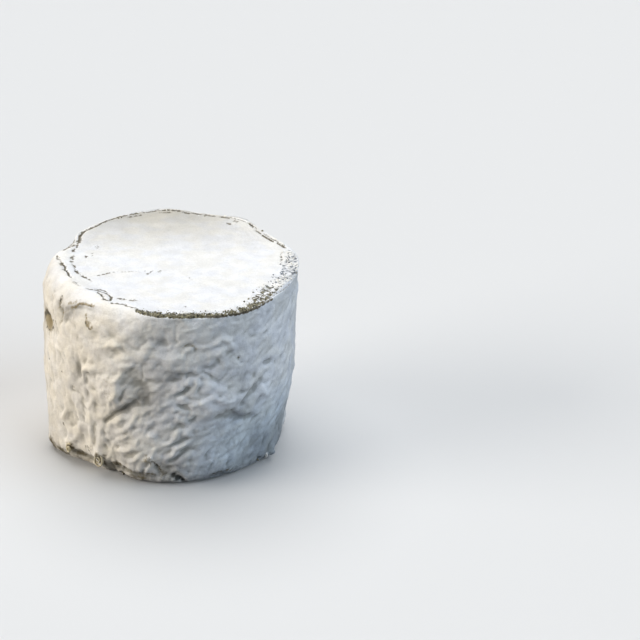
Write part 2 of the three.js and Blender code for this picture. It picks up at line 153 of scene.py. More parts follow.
# The fine creases, which the solid leaves out
CREASES = [
    (0.45, -0.8, [(-140, 33.5), (-140.4, 31), (-136, 30.8)]),
    (0.7, -0.8, [(-128.9, 41.3), (-128.3, 39.8)]),
    (0.6, -0.7, [(-130.4, 39.5), (-130, 35.5)]),
    (0.6, 0.5, [(-145.5, 21.5), (-149.5, 17.2), (-153, 15.4)]),
    (0.8, -0.6, [(-149, 61), (-144, 60.8), (-138.5, 62), (-133, 63.3), (-127, 63.8), (-120.5, 64)]),
    (0.9, 0.8, [(-139.5, 61), (-142.5, 58.5), (-146, 55.5)]),
    (0.7, -0.8, [(-149.5, 63.8), (-150, 60), (-147, 58.5), (-146, 56), (-149.5, 53)]),
    (0.9, 0.6, [(-166.5, 56.8), (-159, 56.5), (-153.5, 56.5)]),
    (0.8, 0.45, [(-153.5, 47), (-147.5, 46.2), (-140.5, 43.8)]),
    (0.8, 0.45, [(-156, 44.4), (-147, 43.8), (-141, 42.3), (-137, 40.2)]),
    (0.45, -0.5, [(-149, 14.8), (-144, 15.8), (-139.5, 17)]),
    (0.4, 0.4, [(-99, 10.5), (-96, 9), (-93, 8)]),
    (0.7, 0.6, [(-110, 35.5), (-106, 34.8), (-103, 33)]),
    (0.8, 0.6, [(-96, 31), (-90, 35)]),
    (0.6, -0.7, [(-89, 43), (-84.5, 43)]),
    (0.6, -0.7, [(-88, 46), (-82, 45.2), (-76, 46), (-72, 44), (-69.5, 43)]),
    (0.8, 0.5, [(-87, 47.7), (-82, 46.9), (-77, 47.4)]),
    (1.1, 0.7, [(-70.5, 38.6), (-65.5, 37.4)]),
    (0.9, 0.7, [(-88.5, 29.3), (-84, 27), (-82.5, 26)]),
    (0.6, -0.6, [(-82.5, 26.6), (-78.5, 29.6)]),
    (0.7, -0.8, [(-89.5, 17.3), (-86, 19.3), (-82.5, 20.6)]),
    (0.9, 0.6, [(-101, 20.4), (-96, 21.2)]),
    (0.35, -0.9, [(-62, 49.6), (-59.6, 49)]),
    (0.4, -0.7, [(-59.6, 47.8), (-57.6, 47)]),
    (0.5, -0.5, [(-86, 54.6), (-82, 55.9), (-80, 55.6), (-78.4, 53.6)]),
    (0.9, 0.35, [(-88.5, 60.4), (-84, 61), (-77, 62.3)]),
    (0.7, -0.7, [(-60.5, 37.2), (-57, 36), (-51, 35.4)]),
    (0.5, -0.5, [(-95.5, 8), (-90, 8.3), (-83.5, 8.9)]),
    (0.7, 0.7, [(-67, 5.2), (-61.5, 4.9)]),
    (0.7, -0.9, [(-65, 3.6), (-58, 1)]),
    (0.5, 0.45, [(-119, 13.6), (-112, 15.8), (-107, 18.4)]),
    (0.5, -0.45, [(-118, 12.3), (-111, 14.4), (-106, 17)]),
    (0.5, -0.45, [(-117, 9.2), (-109, 11.8), (-103, 15.2)]),
    (0.4, -0.5, [(-70.5, 50), (-69, 46.8)]),
    (0.6, -0.9, [(-98.8, 11), (-96.8, 8.6), (-94.5, 5.8)]),
    (0.4, 0.5, [(-110.5, 13.5), (-106.5, 16.5), (-104, 19.5)]),
]

# Scattered wrinkles: how many, a seed, between what heights, how far each strays and turns, its length,
# half-width and height in millimetres, what share of them goes inward, how bent they are, and their grooves
WRINKLES = dict(
    count=820, seed=7, lowest=2, highest=HEIGHT - 4, jitter=2, turn=60, shortest=2.4, longer=3.6,
    narrowest=0.8, wider=0.9, lowest_out=0.18, more_out=0.32, inward=0.2, bend=0.16, trough=0.45)
FINE_WRINKLES = dict(
    count=3600, seed=23, lowest=1, highest=HEIGHT - 2, jitter=2, turn=80, shortest=1, longer=2.4,
    narrowest=0.45, wider=0.45, lowest_out=0.1, more_out=0.2, inward=0.3, bend=0.35, trough=0.6)
# Tilt of the wrinkles, in degrees up from level, at places given by azimuth and height
FLOW = [
    (-180, 50, 125), (-175, 20, 120), (-155, 45, 115), (-150, 15, 105), (-132, 30, 95), (-128, 8, 100),
    (-118, 48, 15), (-112, 22, 38), (-105, 10, 35), (-90, 50, 5), (-88, 30, 10), (-85, 10, 35), (-62, 50, 20),
    (-60, 30, 25), (-60, 10, 45), (-38, 50, 40), (-36, 30, 50), (-35, 10, 50), (-12, 50, 70), (-10, 25, 60),
    (15, 45, 60), (20, 15, 40), (50, 45, 30), (52, 15, 15), (85, 50, 175), (85, 20, 5), (115, 45, 160),
    (120, 15, 170), (145, 45, 140), (150, 15, 150),
]
FLOW_TABLE = np.array(FLOW, float)
FLOW_DEGREES, FLOW_HIGH = 16, 14
# The lower side of a fold or wrinkle is steeper than its upper side. A fold's lower side is the one that lies
# to the right of it and down, by these weights.
STEEP = 0.7
FOLD_STEEP, FOLD_GENTLE = 0.65, 1.45
RIGHT, DOWN = 0.5, 0.85
# How far out a bead of rind is worked out, in half-widths and, for a wrinkle, in lengths; where the groove
# beside a wrinkle lies, in half-widths; and how much sooner than its length a wrinkle dies out
REACH_WIDE, REACH_LONG, GROOVE_AT, SOONER = 3, 1.8, 1.3, 1.1
# Folds and marks taper towards both ends: over what share of their length, and how full they are at the very
# end. Of a fold's height, a share doesn't taper.
FOLD_TAPER, CRACK_TAPER, LINE_TAPER = (0.25, 0), (0.12, 0.5), (0.125, 0.3)
FOLD_END = 0.35
# How strong the wrinkles are, by azimuth, and the calm band under the front rim
LIVELINESS = [
    (-180, 0.5), (-160, 0.5), (-145, 0.55), (-130, 0.62), (-114, 0.95), (-80, 0.95), (-60, 0.9), (-45, 0.8),
    (-30, 0.75), (-15, 0.65), (30, 0.8), (90, 0.9), (140, 0.8),
]
CALM_BAND = dict(at=-95, half=33, soft=10)
CALM_HEIGHT, CALM_SOFT, CALM_KEPT = 57, 3, 0.5

# ---- Noise: a bump's width, and its height or how far it pushes, in millimetres, and a seed ----
SEED_STEP = np.array((17.3, 9.1, 5.7))  # how far apart two seeds read the noise, in bumps
# The wrinkles and the folds are pushed about, across and, with seeds that are this much higher, upward
WARPS = [(7, 1.5, 11), (2.6, 0.5, 12)]
FOLD_WARPS = [(4, 0.9, 61), (1.8, 0.4, 62)]
UPWARD_SEEDS = 50
# Wider swells of the rind, and its roughness near the rim and everywhere
SWELLS = [(11, 0.45, 13), (5.5, 0.32, 14), (2.6, 0.2, 15)]
RIM_ROUGH, SIDE_ROUGH = (2.4, 0.35, 3), (1.4, 0.15, 4)
# How far below the rim its roughness begins, over what height it grows, and what share of it needs crust
RIM_DEPTH, RIM_SOFT, RIM_CRUMBLE = 6, 5, 0.8
# Creases that wander along the noise's level lines: a bump's width, the crease's share of it and its depth in
# millimetres, and a seed
CREASE_SIZE, CREASE_SHARE, CREASE_DEPTH, CREASE_SEED = 9, 0.06, 0.25, 31
# Slow waves of the top face, which begin this share of its radius in from the rim, and its roughness
TOP_WAVES = [(15, 0.22, 5), ((16, 1.6, 5), 0.05, 6)]
TOP_WAVES_FROM = 0.12
TOP_ROUGH, TOP_ROUGH_TALL, TOP_ROUGH_LESS = (1.6, 1, 7), 0.07, 0.05

# ---- The top face's crust, cracks and marks ----
# The dark crust along the rim: azimuth, how far it reaches in and down in millimetres, what share of its
# reach fades out, and how thick it is
CRUST = [
    (-180, 0.3, 0.2, 0.5, 0), (-112, 0.3, 0.3, 0.5, 0), (-107, 1.4, 0.9, 0.6, 0.6), (-101, 2.9, 1.1, 0.6, 1),
    (-94, 3.4, 1.2, 0.6, 1.1), (-78, 3.7, 1.2, 0.7, 1.08), (-68, 4.3, 1.1, 0.7, 0.95),
    (-60, 4.7, 1, 0.6, 0.94), (-50, 6.2, 0.5, 0.5, 0.8), (-43, 7.8, 0.2, 0.35, 0.65),
    (-36, 9, -0.8, 0.3, 0.66), (-30, 9, -1.8, 0.2, 0.7), (-26, 8, -2.5, 0.3, 0.4), (-20, 8, -0.8, 0.3, 0.52),
    (-12, 7, -0.1, 0.2, 0.62), (-3, 6.5, 0.2, 0.2, 0.6), (5, 6, 0.2, 0.3, 0.5), (12, 4.6, 0.3, 0.4, 0.5),
    (18, 1.5, 0.2, 0.7, 0.2), (60, 1.8, 0.3, 0.7, 0.3), (120, 1.8, 0.3, 0.7, 0.3), (135, 0.3, 0.2, 0.5, 0),
    (180, 0.3, 0.2, 0.5, 0),
]
CRUST_LEAST_FADE, CRUST_FADE_DOWN = 0.3, 0.7
# Where the crust, and the foot's dirt and painted shade, are greyer than brown: the foot up to this height,
# and fading up to twice that
GREYER = dict(at=-2, half=27, soft=10)
GREYER_FOOT = dict(at=-38, half=52, soft=12)
GREYER_HEIGHT = 20
# Crumbly crust stands out of the rind in flocks, from a bed that is sunk this deep
FLOCKS, CRUST_DEPTH = (1.5, 0.7, 1), 0.25

# Cracks and worn spots of the top face: half-width and depth in millimetres, darkness, and a route of
# azimuth and radius
TOP_CRACKS = [
    # the notch behind the left shoulder
    (0.6, 0.8, 1.1, [(138, 41), (140.5, 40.6), (144, 39.6), (148, 38.2), (151.7, 36.9)]),
    (1, 0.6, 1, [(146, 38.8), (149, 37.8), (151.5, 37)]),
    (0.4, 0.4, 0.8, [(151.7, 36.9), (156, 35.8), (159.1, 35.2)]),
    (0.5, 0.4, 1.1, [(153.5, 36.6), (156.5, 37.6), (160, 38.4), (164.5, 39)]),
    # the row of worn spots inside the left shoulder
    (0.9, 0.2, 0.62, [(150.5, 29.3), (153, 28.9)]), (0.75, 0.2, 0.65, [(168.4, 29.9), (171.6, 29.7)]),
    (0.35, 0.1, 0.4, [(162, 28.6), (168.5, 27.8)]), (0.7, 0.3, 0.7, [(161, 35.3), (165, 35.2)]),
    (0.8, 0.3, 0.8, [(171, 34.5), (175.6, 34.1)]), (0.7, 0.3, 0.75, [(177.3, 34.3), (180, 34)]),
    (0.5, 0.3, 0.75, [(184, 33.4), (187.5, 33.1)]), (0.6, 0.3, 1.1, [(191.8, 33.4), (196.3, 32.8)]),
    (0.55, 0.3, 0.9, [(200.3, 32.3), (204.2, 31.4)]), (0.42, 0.2, 0.75, [(205, 31.4), (209.5, 30.9)]),
    (0.35, 0.1, 0.45, [(180, 34), (190, 33.4), (200, 32.4)]),
    # the long crack along the left shoulder
    (0.5, 0.5, 1.05, [(172.4, 39.5), (176, 38.9), (179, 38.2), (181.5, 37.6), (184.5, 37.1)]),
    (0.4, 0.6, 1, [(183, 37.4), (186.5, 36.5), (190.6, 36.9), (194, 36.2), (198.1, 36.6), (201.2, 36.3)]),
    (0.6, 0.1, 0.5, [(207, 36.9), (213.6, 36.8)]),
    # the hook at the front left
    (0.45, 0.3, 0.9, [(-141.5, 36.2), (-139.2, 35.6), (-138, 34.8), (-136.4, 34.4)]),
    (0.5, 0.3, 0.9, [(-136.4, 34.4), (-132.3, 33.4), (-128.7, 33.6), (-124.4, 35)]),
    (0.5, 0.3, 1, [(-124.8, 34.8), (-122.2, 37.8), (-123.5, 38.5)]),
    (0.42, 0.3, 0.85, [(-123.5, 38.5), (-126, 38), (-128.4, 36.8), (-131, 35.9), (-134.1, 35.5)]),
    (0.5, 0.2, 0.85, [(-138, 33.6), (-134.2, 32.4), (-130.3, 32.6)]),
    (1, 0.1, 0.62, [(-121.5, 34.6), (-117, 33.9)]), (1, 0.1, 0.62, [(-114.4, 33.5), (-110, 33.6)]),
    (0.5, 0.3, 0.9, [(-120.5, 39.5), (-117, 38.8), (-114, 38.4), (-111.8, 39)]),
    (0.36, 0.2, 0.6, [(-111.8, 39), (-108.5, 39.6), (-105, 40.5)]),
    # thin cracks and specks on the flat of the top
    (0.36, 0.1, 0.85, [(-156.4, 27.5), (-156.8, 24.8), (-158.5, 21.9)]),
    (0.32, 0.05, 0.5, [(-158.7, 21.9), (-153.8, 17.2), (-141.3, 11.4), (-112, 7.2)]),
    (0.42, 0.1, 0.85, [(-131.5, 11.7), (-128, 11.5)]),
    (0.38, 0.1, 0.9, [(-116, 7.1), (-103, 6.5), (-89, 6.7)]), (0.34, 0.1, 0.5, [(-70, 13.2), (-62, 14.8)]),
    (0.4, 0.2, 0.6, [(-83.4, 36.2), (-81.4, 36.3)]),
    # brown specks inside the back rim, and the edge of the lace on the right
    (0.6, 0.2, 0.8, [(59.8, 40.2), (57.4, 39.8)]), (0.6, 0.2, 0.8, [(58.4, 42.6), (56, 42.6)]),
    (0.4, 0.2, 0.6, [(2, 38.3), (6, 38.8), (9, 38.6), (12.5, 39.4)]),
]
# Dark lines just inside the rim, along its edge: cracks where the top's rind meets the side's at the back,
# and thin dark lines at the very edge in front: from and to an azimuth, how far in from the edge and
# half-width in millimetres, and darkness
RIM_LINES = [
    (17, 24, 1.8, 0.5, 1), (25.5, 36, 2.3, 0.45, 0.95), (37.5, 43, 1.9, 0.45, 0.9), (19, 37, 1.1, 0.32, 0.75),
    (44.5, 50, 1.2, 0.5, 1), (52, 59, 1.1, 0.65, 1), (61, 66, 1.2, 0.65, 0.95), (68.5, 73.5, 1.1, 0.6, 0.8),
    (75.5, 80, 1, 0.6, 0.75), (81, 84, 1.6, 0.65, 1), (85.5, 89.5, 0.9, 0.7, 1), (90.5, 95, 0.9, 0.7, 1),
    (96.5, 103, 0.9, 0.6, 0.8), (104.5, 112.5, 0.7, 0.5, 0.95), (112, 126, 0.6, 0.45, 0.95),
    (125.5, 138, 0.7, 0.45, 0.95), (90, 95, 2.6, 0.5, 0.65), (104, 111, 2.6, 0.5, 0.6),
    (-84, -72, 0.1, 0.3, 0.8), (-73, -60, 0.1, 0.35, 1), (-61, -50, 0.2, 0.3, 0.9), (-47, -38, 0.2, 0.3, 0.8),
    (-39, -30, 0.15, 0.3, 0.8), (-31, -22, 0.2, 0.28, 0.6), (-18, -9, 0.25, 0.28, 0.5),
]
RIM_LINE_DEPTH, RIM_LINE_POINTS = 0.3, 6

# ---- Marks on the side: azimuth, height, half-width in degrees, half-height in millimetres, strength ----
OCHRE_MARKS = [
    (-164.5, 50, 6, 3, 2.2), (-118, 37, 3.5, 9, 0.32), (-122, 52, 8, 5, 0.2), (-128.3, 58.8, 1.3, 1.4, 0.9),
    (-126.3, 58.2, 0.9, 0.9, 0.7), (-101, 11, 2.2, 2.4, 0.7), (-147, 6.8, 2.2, 2, 0.6),
    (-127.5, 7.5, 2.4, 2.6, 0.6), (-150, 60, 1, 3, 0.5), (-147, 56, 1.5, 1.2, 0.3),
    (-146.5, 36, 1.6, 0.9, 0.4), (-155, 62, 3, 1.5, 0.25), (-140, 60, 10, 4, 0.22), (-137, 2.2, 6, 1.5, 0.35),
]
# Dark marks low on the side, partly dirt and partly painted shade along the foot, under flaps and in the gaps
# round the curls
DIRT_AND_SHADE_MARKS = [
    (-163, 2.4, 5, 2.4, 1.1), (-154, 2.4, 4.5, 1.5, 1.2), (-143, 2.3, 5, 1.8, 0.4), (-170, 1.2, 6, 1, 0.8),
    (-143, 4.4, 4, 0.9, 1), (-126, 5.2, 1.1, 2.2, 0.9), (-127.5, 8.6, 1.3, 0.8, 0.7),
    (-117.5, 5.6, 4.5, 1.3, 1), (-105, 2.6, 6, 1, 0.7), (-97.4, 9.8, 1, 1.6, 0.3),
    (-88.5, 4.6, 1.5, 0.8, 1.2), (-86, 3.2, 2.2, 1, 1.5), (-83.5, 1.9, 1.4, 0.7, 1.2),
    (-146.2, 6.2, 1.9, 1.9, 0.9), (-127, 6.8, 2.2, 2.1, 0.9), (-112, 4.6, 6, 1.2, 0.6),
    (-100, 4.8, 5, 1.2, 0.6), (-108, 1, 9, 1, 0.9), (-136.5, 8.6, 2.5, 1.2, 0.5), (-124.5, 8, 2, 1.5, 0.6),
    (-93, 5.2, 3, 1.4, 0.6), (-88, 8, 5, 1.4, 0.35), (-90, 0.6, 20, 0.6, 0.4), (-66, 4, 5, 0.5, 0.6),
    (-47, 3.6, 2.5, 0.6, 0.6), (-41, 4.2, 1.6, 0.6, 1), (-34, 1.6, 4, 0.7, 0.6), (-105, 4.2, 9, 2.2, 0.33),
    (-88, 3, 12, 2.8, 0.35), (-62, 3, 14, 2.8, 0.4), (-38, 3, 14, 3, 0.4), (-20, 6, 8, 4, 0.42),
    (20, 0.8, 40, 0.8, 0.5), (120, 1, 50, 0.9, 0.5), (-150.5, 14.3, 0.8, 0.7, 0.8),
]
# How far the underside is darkened with the foot's dark colour
UNDERSIDE_DARKENING = 0.3
# Where the side is painted lighter, above 0, or darker, below 0: partly thick white or thin dull mould,
# partly painted light and painted shade over folds, hollows, the left flank, the shoulder and the foot
BLOOM_AND_PAINTED_SHADING = [
    (-102.5, 35.5, 7, 5.5, -1), (-112, 30, 5, 2.2, -0.6), (-92, 42, 6, 5, -0.5), (-97, 47, 5, 3, -0.4),
    (-96, 56, 9, 3, -0.3), (-59, 41, 4, 3.5, -0.6), (-56, 32, 4, 4, -0.5), (-69.5, 50.5, 5, 3, 0.9),
    (-63, 25, 8, 3, -0.3), (-134.5, 40, 3, 5, -0.3), (-113, 50, 5, 2.5, 1), (-120, 38, 5, 9, 1.3),
    (-97, 36, 5, 3, -0.7), (-48, 18, 10, 6, -0.5), (-55, 26, 6, 5, -0.25), (-179, 33, 11, 35, -0.35),
    (-170, 12, 14, 9, -0.45), (-175, 48, 8, 8, -0.3), (-144, 58, 6, 3, -0.65), (-87, 44, 7, 3.5, -0.7),
    (-140, 3, 6, 2.5, -0.3), (-25, 8, 22, 8, -0.5), (-135.5, 39.5, 3, 4.5, -0.35), (-78, 36, 10, 5, 0.8),
    (-78, 61, 9, 3, 0.5), (-127, 12, 3, 5, 1), (-98, 18, 6, 5, 1), (-66, 15, 11, 5, 0.9),
    (-172, 30, 8, 20, -0.12), (-38, 33, 14, 12, 1.3), (-30, 56, 24, 8, 0.8), (-101, 4, 12, 3, -1),
    (-88, 8, 6, 3, -0.9), (-68, 5, 12, 3.5, -0.7), (-40, 6, 16, 5, -0.9), (-46, 13, 9, 4, -0.5),
    (-20, 12, 12, 9, -0.9), (-119, 3, 6, 2.4, -0.3), (-146, 16, 6, 6, 0.3), (-127, 16, 4, 8, 0.9),
    (-132, 55, 10, 4, 0.6), (-62, 18, 9, 3, 0.5), (-121.5, 15, 5, 5, 0.9), (-132, 17, 5, 6, 0.9),
    (-133, 54, 7, 4, 0.9), (-113, 28.5, 4, 3, -0.6), (-112, 17, 5, 4, -0.4), (-137.5, 37, 3, 3, -0.6),
    (-142, 26, 3, 5, -0.4), (-108, 1, 9, 1.6, -1.2), (-97, 1.2, 4, 1.2, -0.8), (-40, 48, 5, 2.5, -0.5),
    (-72, 37, 4, 3, 0.6), (-139, 61.5, 6, 2.5, -0.5), (-157, 3, 9, 2, -0.5), (-140, 3, 8, 2, -0.7),
    (-113, 9.5, 6, 2.5, -0.8), (-140, 62, 14, 3, -0.2), (-165, 62, 20, 5, -0.3),
]
# Patches of cream rind and painted warm light, on the lit flank of a swelling and a bump above it
CREAM_AND_WARM_LIT_PATCHES = [(-119, 38, 5.5, 12, 1), (-112, 51, 6, 4, 0.7)]
# Thin marks on the side: half-width in millimetres, strength, and a route of azimuth and height
OCHRE_LINES = [
    (0.4, 0.6, [(-149.5, 63.8), (-150, 60), (-147, 58.5), (-146, 56), (-149.5, 53)]),
    (0.6, 0.55, [(-143, 62.5), (-139.5, 63.3), (-138, 64.3)]),
    (0.45, 0.9, [(-130.5, 62.5), (-130, 60), (-128.8, 58), (-127.3, 57.4), (-125.8, 58.6)]),
    (0.4, 0.5, [(-85.5, 55), (-82, 56), (-80, 55.6), (-78.5, 53.8)]),
    (0.5, 0.4, [(-139, 31), (-139.5, 33), (-137.5, 30.6)]),
    (0.5, 0.9, [(-141.5, 61.5), (-138.5, 62), (-136.5, 63.8), (-133, 64.3), (-127, 64.7)]),
    (0.6, 0.45, [(-158, 62), (-154, 57), (-152, 51)]),
]
# Dark lines, partly cracks and specks, partly painted shadow under the front rim's lip and in creases and
# pits
DARK_LINES_AND_PAINTED_SHADOWS = [
    (0.5, 0.9, [(-76, 66), (-68, 66), (-62, 66)]), (0.6, 1.2, [(-63, 66), (-56, 66), (-50, 66.2)]),
    (0.4, 0.9, [(-51, 66.2), (-40, 66.2)]),
    (0.35, 0.45, [(-141, 61.6), (-138.5, 62), (-136.5, 63.6), (-133, 64.1), (-127, 64.5)]),
    (0.3, 0.4, [(-136.8, 65), (-137.3, 62.8)]), (0.5, 1, [(159, 65.4), (152.5, 65.6), (147, 65.8)]),
    (0.25, 0.8, [(-160.8, 36.4), (-159.4, 36.7)]), (0.25, 0.8, [(-134.4, 42), (-133.7, 42.2)]),
    (0.3, 0.6, [(-148.5, 35.2), (-147, 36.3)]), (0.3, 0.8, [(-151, 14), (-149.8, 14.9)]),
    (0.25, 0.5, [(-62, 49.6), (-59.6, 49)]), (0.25, 0.5, [(-59.3, 47.8), (-57.8, 47.2)]),
    (0.3, 0.9, [(-99.8, 10.3), (-99.4, 8.8)]), (0.25, 0.5, [(-97, 9.5), (-93.5, 8)]),
    (0.3, 0.4, [(-130.5, 60.8), (-129.8, 58.6), (-128.2, 58)]),
    (1.1, 1, [(-171, 47.4), (-171.5, 49.5), (-168.5, 51.8), (-163, 53.2), (-157.5, 53.2)]),
    (0.5, 0.8, [(-98.8, 11), (-96.8, 8.6), (-94.5, 5.8)]),
    (0.35, 0.8, [(-136, 9.2), (-135.5, 7.8), (-135, 6)]), (0.4, 0.8, [(-70, 4.3), (-63, 4.4), (-57, 2.6)]),
    (0.5, 0.6, [(-156.5, 53.4), (-155, 51.5), (-157, 49), (-161, 47), (-168, 46.4)]),
    (0.3, 0.6, [(-162, 47), (-160.5, 44.8), (-160, 42.2)]),
    (0.3, 0.6, [(-149.5, 63.8), (-150, 60), (-148, 58.8)]),
    (0.3, 0.4, [(-129.5, 60.5), (-129.3, 58.5), (-127.8, 57.4), (-126, 58.4)]),
]

# ---- Loose bits of rind ----
# Curled scraps: azimuth, height, outer radius, turns, start angle in degrees, and 1 or -1 for the way round
CURLS = [(-146, 6.2, 1.5, 1.4, 60, 1), (-127.2, 6, 2.1, 1.8, 100, -1)]
CURL_WIDE, CURL_DEEP, CURL_TALL, CURL_RAISED, CURL_LEAN = 0.36, 1.5, 1.25, 0.9, 0.15
# What share of its reach a curl loses towards its middle, how far its outer end is raised and by what power
# the rest rises, how much it thins, and how bluntly its ends close and to what
CURL_TIGHTENS, CURL_LOW, CURL_RISE, CURL_THINS, CURL_BLUNT, CURL_TIP = 0.85, 0.25, 0.7, 0.35, 8, 0.02
CURL_STEPS, CURL_SIDES = 44, 10
CURL_OCHRE = 0.3
# Crumbs: how many, from and to an azimuth, and the share of dark ones
CRUMBS = [(130, -104, -56, 0.4), (110, -58, -18, 0.4), (70, -20, 14, 0.35), (40, 18, 135, 0.4)]
CRUMB_SEED, CRUMB_SMALLEST, CRUMB_LARGER = 5, 0.18, 0.26
# Crumbs lie closer together towards the edge, and small ones are more common, by these powers
CRUMB_OUTWARD, CRUMB_SMALLER = 1.3, 2
CRUMB_LUMPS, CRUMB_SHAPE, CRUMB_TURN, CRUMB_DARK = (0.9, 0.45), (1.3, 1, 0.7), 6, 1.3
# Chips at the foot and one on the side: azimuth, height, size, and whether it is dark
CHIPS = [(-116.8, 1, 0.75, True), (-41, 3.4, 0.5, True), (-35, 3.4, 0.8, False), (-98.8, 12.6, 0.5, False)]

# ---- How finely the wheel is divided ----
COLUMNS = 576
FOOT_ROWS, WALL_ROWS, EDGE_ROWS = 10, 88, 15
EDGE_BAND = 4.5
RIM_RINGS, RIM_RING_STEP, INNER_RINGS = 38, 0.008, 12
# Rows and rings lie closer together towards the rim, by these powers
EDGE_CROWDING, INNER_CROWDING = 1.3, 1.25
BOTTOM_RINGS = [0.6, 0.9, 0.985]
# A hollow is measured against the rind this many columns and rows around it
HOLLOW_COLUMNS, HOLLOW_ROWS = 4, 3


# ---- Colours ----
def srgb(red, green, blue):
    """A colour from its 0 to 255 screen values, as linear light."""
    values = np.array((red, green, blue)) / 255
    return np.where(values <= 0.04045, values / 12.92, ((values + 0.055) / 1.055) ** 2.4)


# CREAM_AND_WARM_LIGHT stands partly for painted warm light, and COOL_TINT_AND_COOL_LIGHT partly for painted
# cool light
CREAM_AND_WARM_LIGHT, PALE, COOL_TINT_AND_COOL_LIGHT = srgb(249, 242, 230), srgb(235, 234, 232), srgb(229, 234, 241)
WHITE, BEIGE, UNDER = srgb(238, 238, 239), srgb(193, 189, 181), srgb(205, 198, 182)
CURL_COLOUR, CRUMB_COLOUR = srgb(224, 213, 184), srgb(236, 236, 234)
LIGHTEST = 0.95
# Stretches of the side in cream on the left and cool on the right, partly the rind's own tint and partly
# painted warm and cool light; and a bluish cast low on the right, partly bluish mould and partly painted cool
# shade, which ends at a height and fades towards it
CREAM_AND_WARM_LIT_SIDE = dict(at=-158, half=48, soft=14)
COOL_AND_COOL_LIT_SIDE = dict(at=-25, half=58, soft=24)
BLUISH_MOULD_AND_SHADE_SIDE = dict(at=-45, half=30, soft=20)
BLUISH_HEIGHT, BLUISH_FADE = 40, 25
BLUE_MOULD_AND_SHADE_CAST = np.array((0.88, 0.96, 1.02))
SHOULDER_WHITE = 0.6
# What thick mould and painted light add and thin mould and painted shade take, and two noises that vary it
BLOOM_AND_LIGHT_ADDS, THIN_MOULD_AND_SHADE_TAKES = 0.1, 0.45
BLOOM_AND_SHADING_VARIES, BLOOM_AND_SHADING_DRIFTS = (4, 0.6, 21), (8, 0.12, 22)
# The top face turns beige towards the back, in waves, less so on the right, and cream, partly painted warm
# light, along its left edge: from a place in millimetres, and over how many more
BEIGE_FROM, BEIGE_OVER, BEIGE_WAVES = 6, 36, ((30, 5, 9), 4, 8)
BEIGE_LESS, LESS_FROM, LESS_OVER = 0.45, 5, 25
CREAM_EDGE = dict(at=-180, half=40, soft=20)
CREAM_FROM, CREAM_OVER, CREAM_SHARE = 34, 5, 0.25
# Where painted shade darkens the rim's edge as it turns away from the light, and how far in from it
SHADED_RIM_EDGE = dict(at=-24, half=17, soft=8)
SHADED_RIM_WIDTH, RIM_EDGE_SHADE = 3.9, srgb(180, 188, 199)

# What the material lays over those colours: casts to multiply with, and marks
# Painted shade in the rind's hollows and a painted highlight on its raised parts, to multiply with
PAINTED_HOLLOW_SHADE, PAINTED_CREST_HIGHLIGHT = (0.6, 0.6, 0.58), (1.05, 1.045, 1.03)
WARM_CAST, COOL_CAST = (1, 0.985, 0.945), (0.98, 0.985, 1)
# The foot's dark brown and grey are partly dirt and partly painted shade
OCHRE, DIRT_AND_SHADE, GREY_DIRT_AND_SHADE = srgb(140, 120, 70), srgb(104, 94, 70), srgb(84, 92, 98)
CRUST_DARK, CRUST_LIGHT = srgb(50, 47, 35), srgb(136, 130, 103)
GREY_DARK, GREY_LIGHT = srgb(62, 68, 76), srgb(140, 146, 154)
# Cracks, and the side's painted shadow lines, take these colours
CRACK_AND_SHADOW_LINE, CRACK_AND_SHADOW_LINE_LIGHT = srgb(84, 77, 62), srgb(128, 121, 105)
# The material's noises: a bump's width in millimetres, detail and roughness
MOTTLE, HUES, FUZZ = (5, 4, 0.6), (7, 2), (0.4, 3, 0.6)
CRUMB_HUES, CRACK_AND_SHADOW_LINE_HUES = (0.7, 2), (1.1, 2)
CRUST_FINE, CRUST_CLUMPS, CRUST_STROKES, STROKE_SHAPE = (0.6, 2, 0.6), (2.2, 0), (0.8, 1, 0.5), (1, 0.35, 1)
BUMP_NOISE, RIDGE_NOISE = (0.8, 4, 0.6), (1.7, 3, 0.55)
# The values that most noise and much of it lie within
NOISE_RANGE, NARROW_RANGE = (0.3, 0.7), (0.35, 0.65)
MOTTLE_SHADES, FUZZ_SHADES = (0.92, 1.03), (0.93, 1.04)
HOLLOW_FULL = 0.5  # a hollow of this many millimetres is fully shaded
# Marks with broken edges: the size of the noise, where the mark begins and is full, and how ragged it is
OCHRE_BREAK, DIRT_AND_SHADE_BREAK, CRACK_AND_SHADOW_LINE_BREAK = (0.8, 0.15, 0.9, 0.22), (1.2, 0.1, 0.9, 0.22), (0.9, 0.22, 0.72, 0.3)
OCHRE_STRENGTH = 0.8
# The crust shows where these shares of its noises and of its layer add up to more than its edge
STROKE_SHARE, FINE_SHARE, CLUMP_SHARE, LAYER_SHARE, CRUST_EDGE = 0.55, 0.2, 0.25, 0.42, (0.72, 0.8)
RIND_ROUGHNESS, CRUST_ROUGHNESS = 0.93, 0.75
SPECULAR, SHEEN, SHEEN_ROUGHNESS = 0.3, 0.12, 0.6
BUMP_SHARE, RIDGE_SHARE, RIDGE_WIDTH = 0.8, 0.15, 0.12
BUMP_STRENGTH, BUMP_MM = 0.5, 0.4

# ---- Camera: the place in a 640 by 640 picture where the middle of the wheel falls, and the view of it ----
PICTURE = 640
WHEEL_PIXEL = (170.6, 348.5)
FOCAL_PIXELS = 2600
PIXELS_PER_MM = 2.85
ELEVATION = 26
AIM_HEIGHT = 33.3
SENSOR_WIDTH = 36
CLIP_START = 0.01

# ---- Studio ----
# Wide soft lights: the azimuth and elevation they come from, width in degrees, power and colour
LIGHTS = {
    "overhead": (100, 70, 60, 2.32, (1, 1, 1)),
    "left_warm": (-168, 13, 40, 2.9, (1, 0.955, 0.89)),
    "right_cool": (-28, 34, 60, 1.68, (0.8, 0.9, 1)),
}
SKY_GLOW, BACKDROP = 0.06, 0.815
FLOOR_SIZE = 6
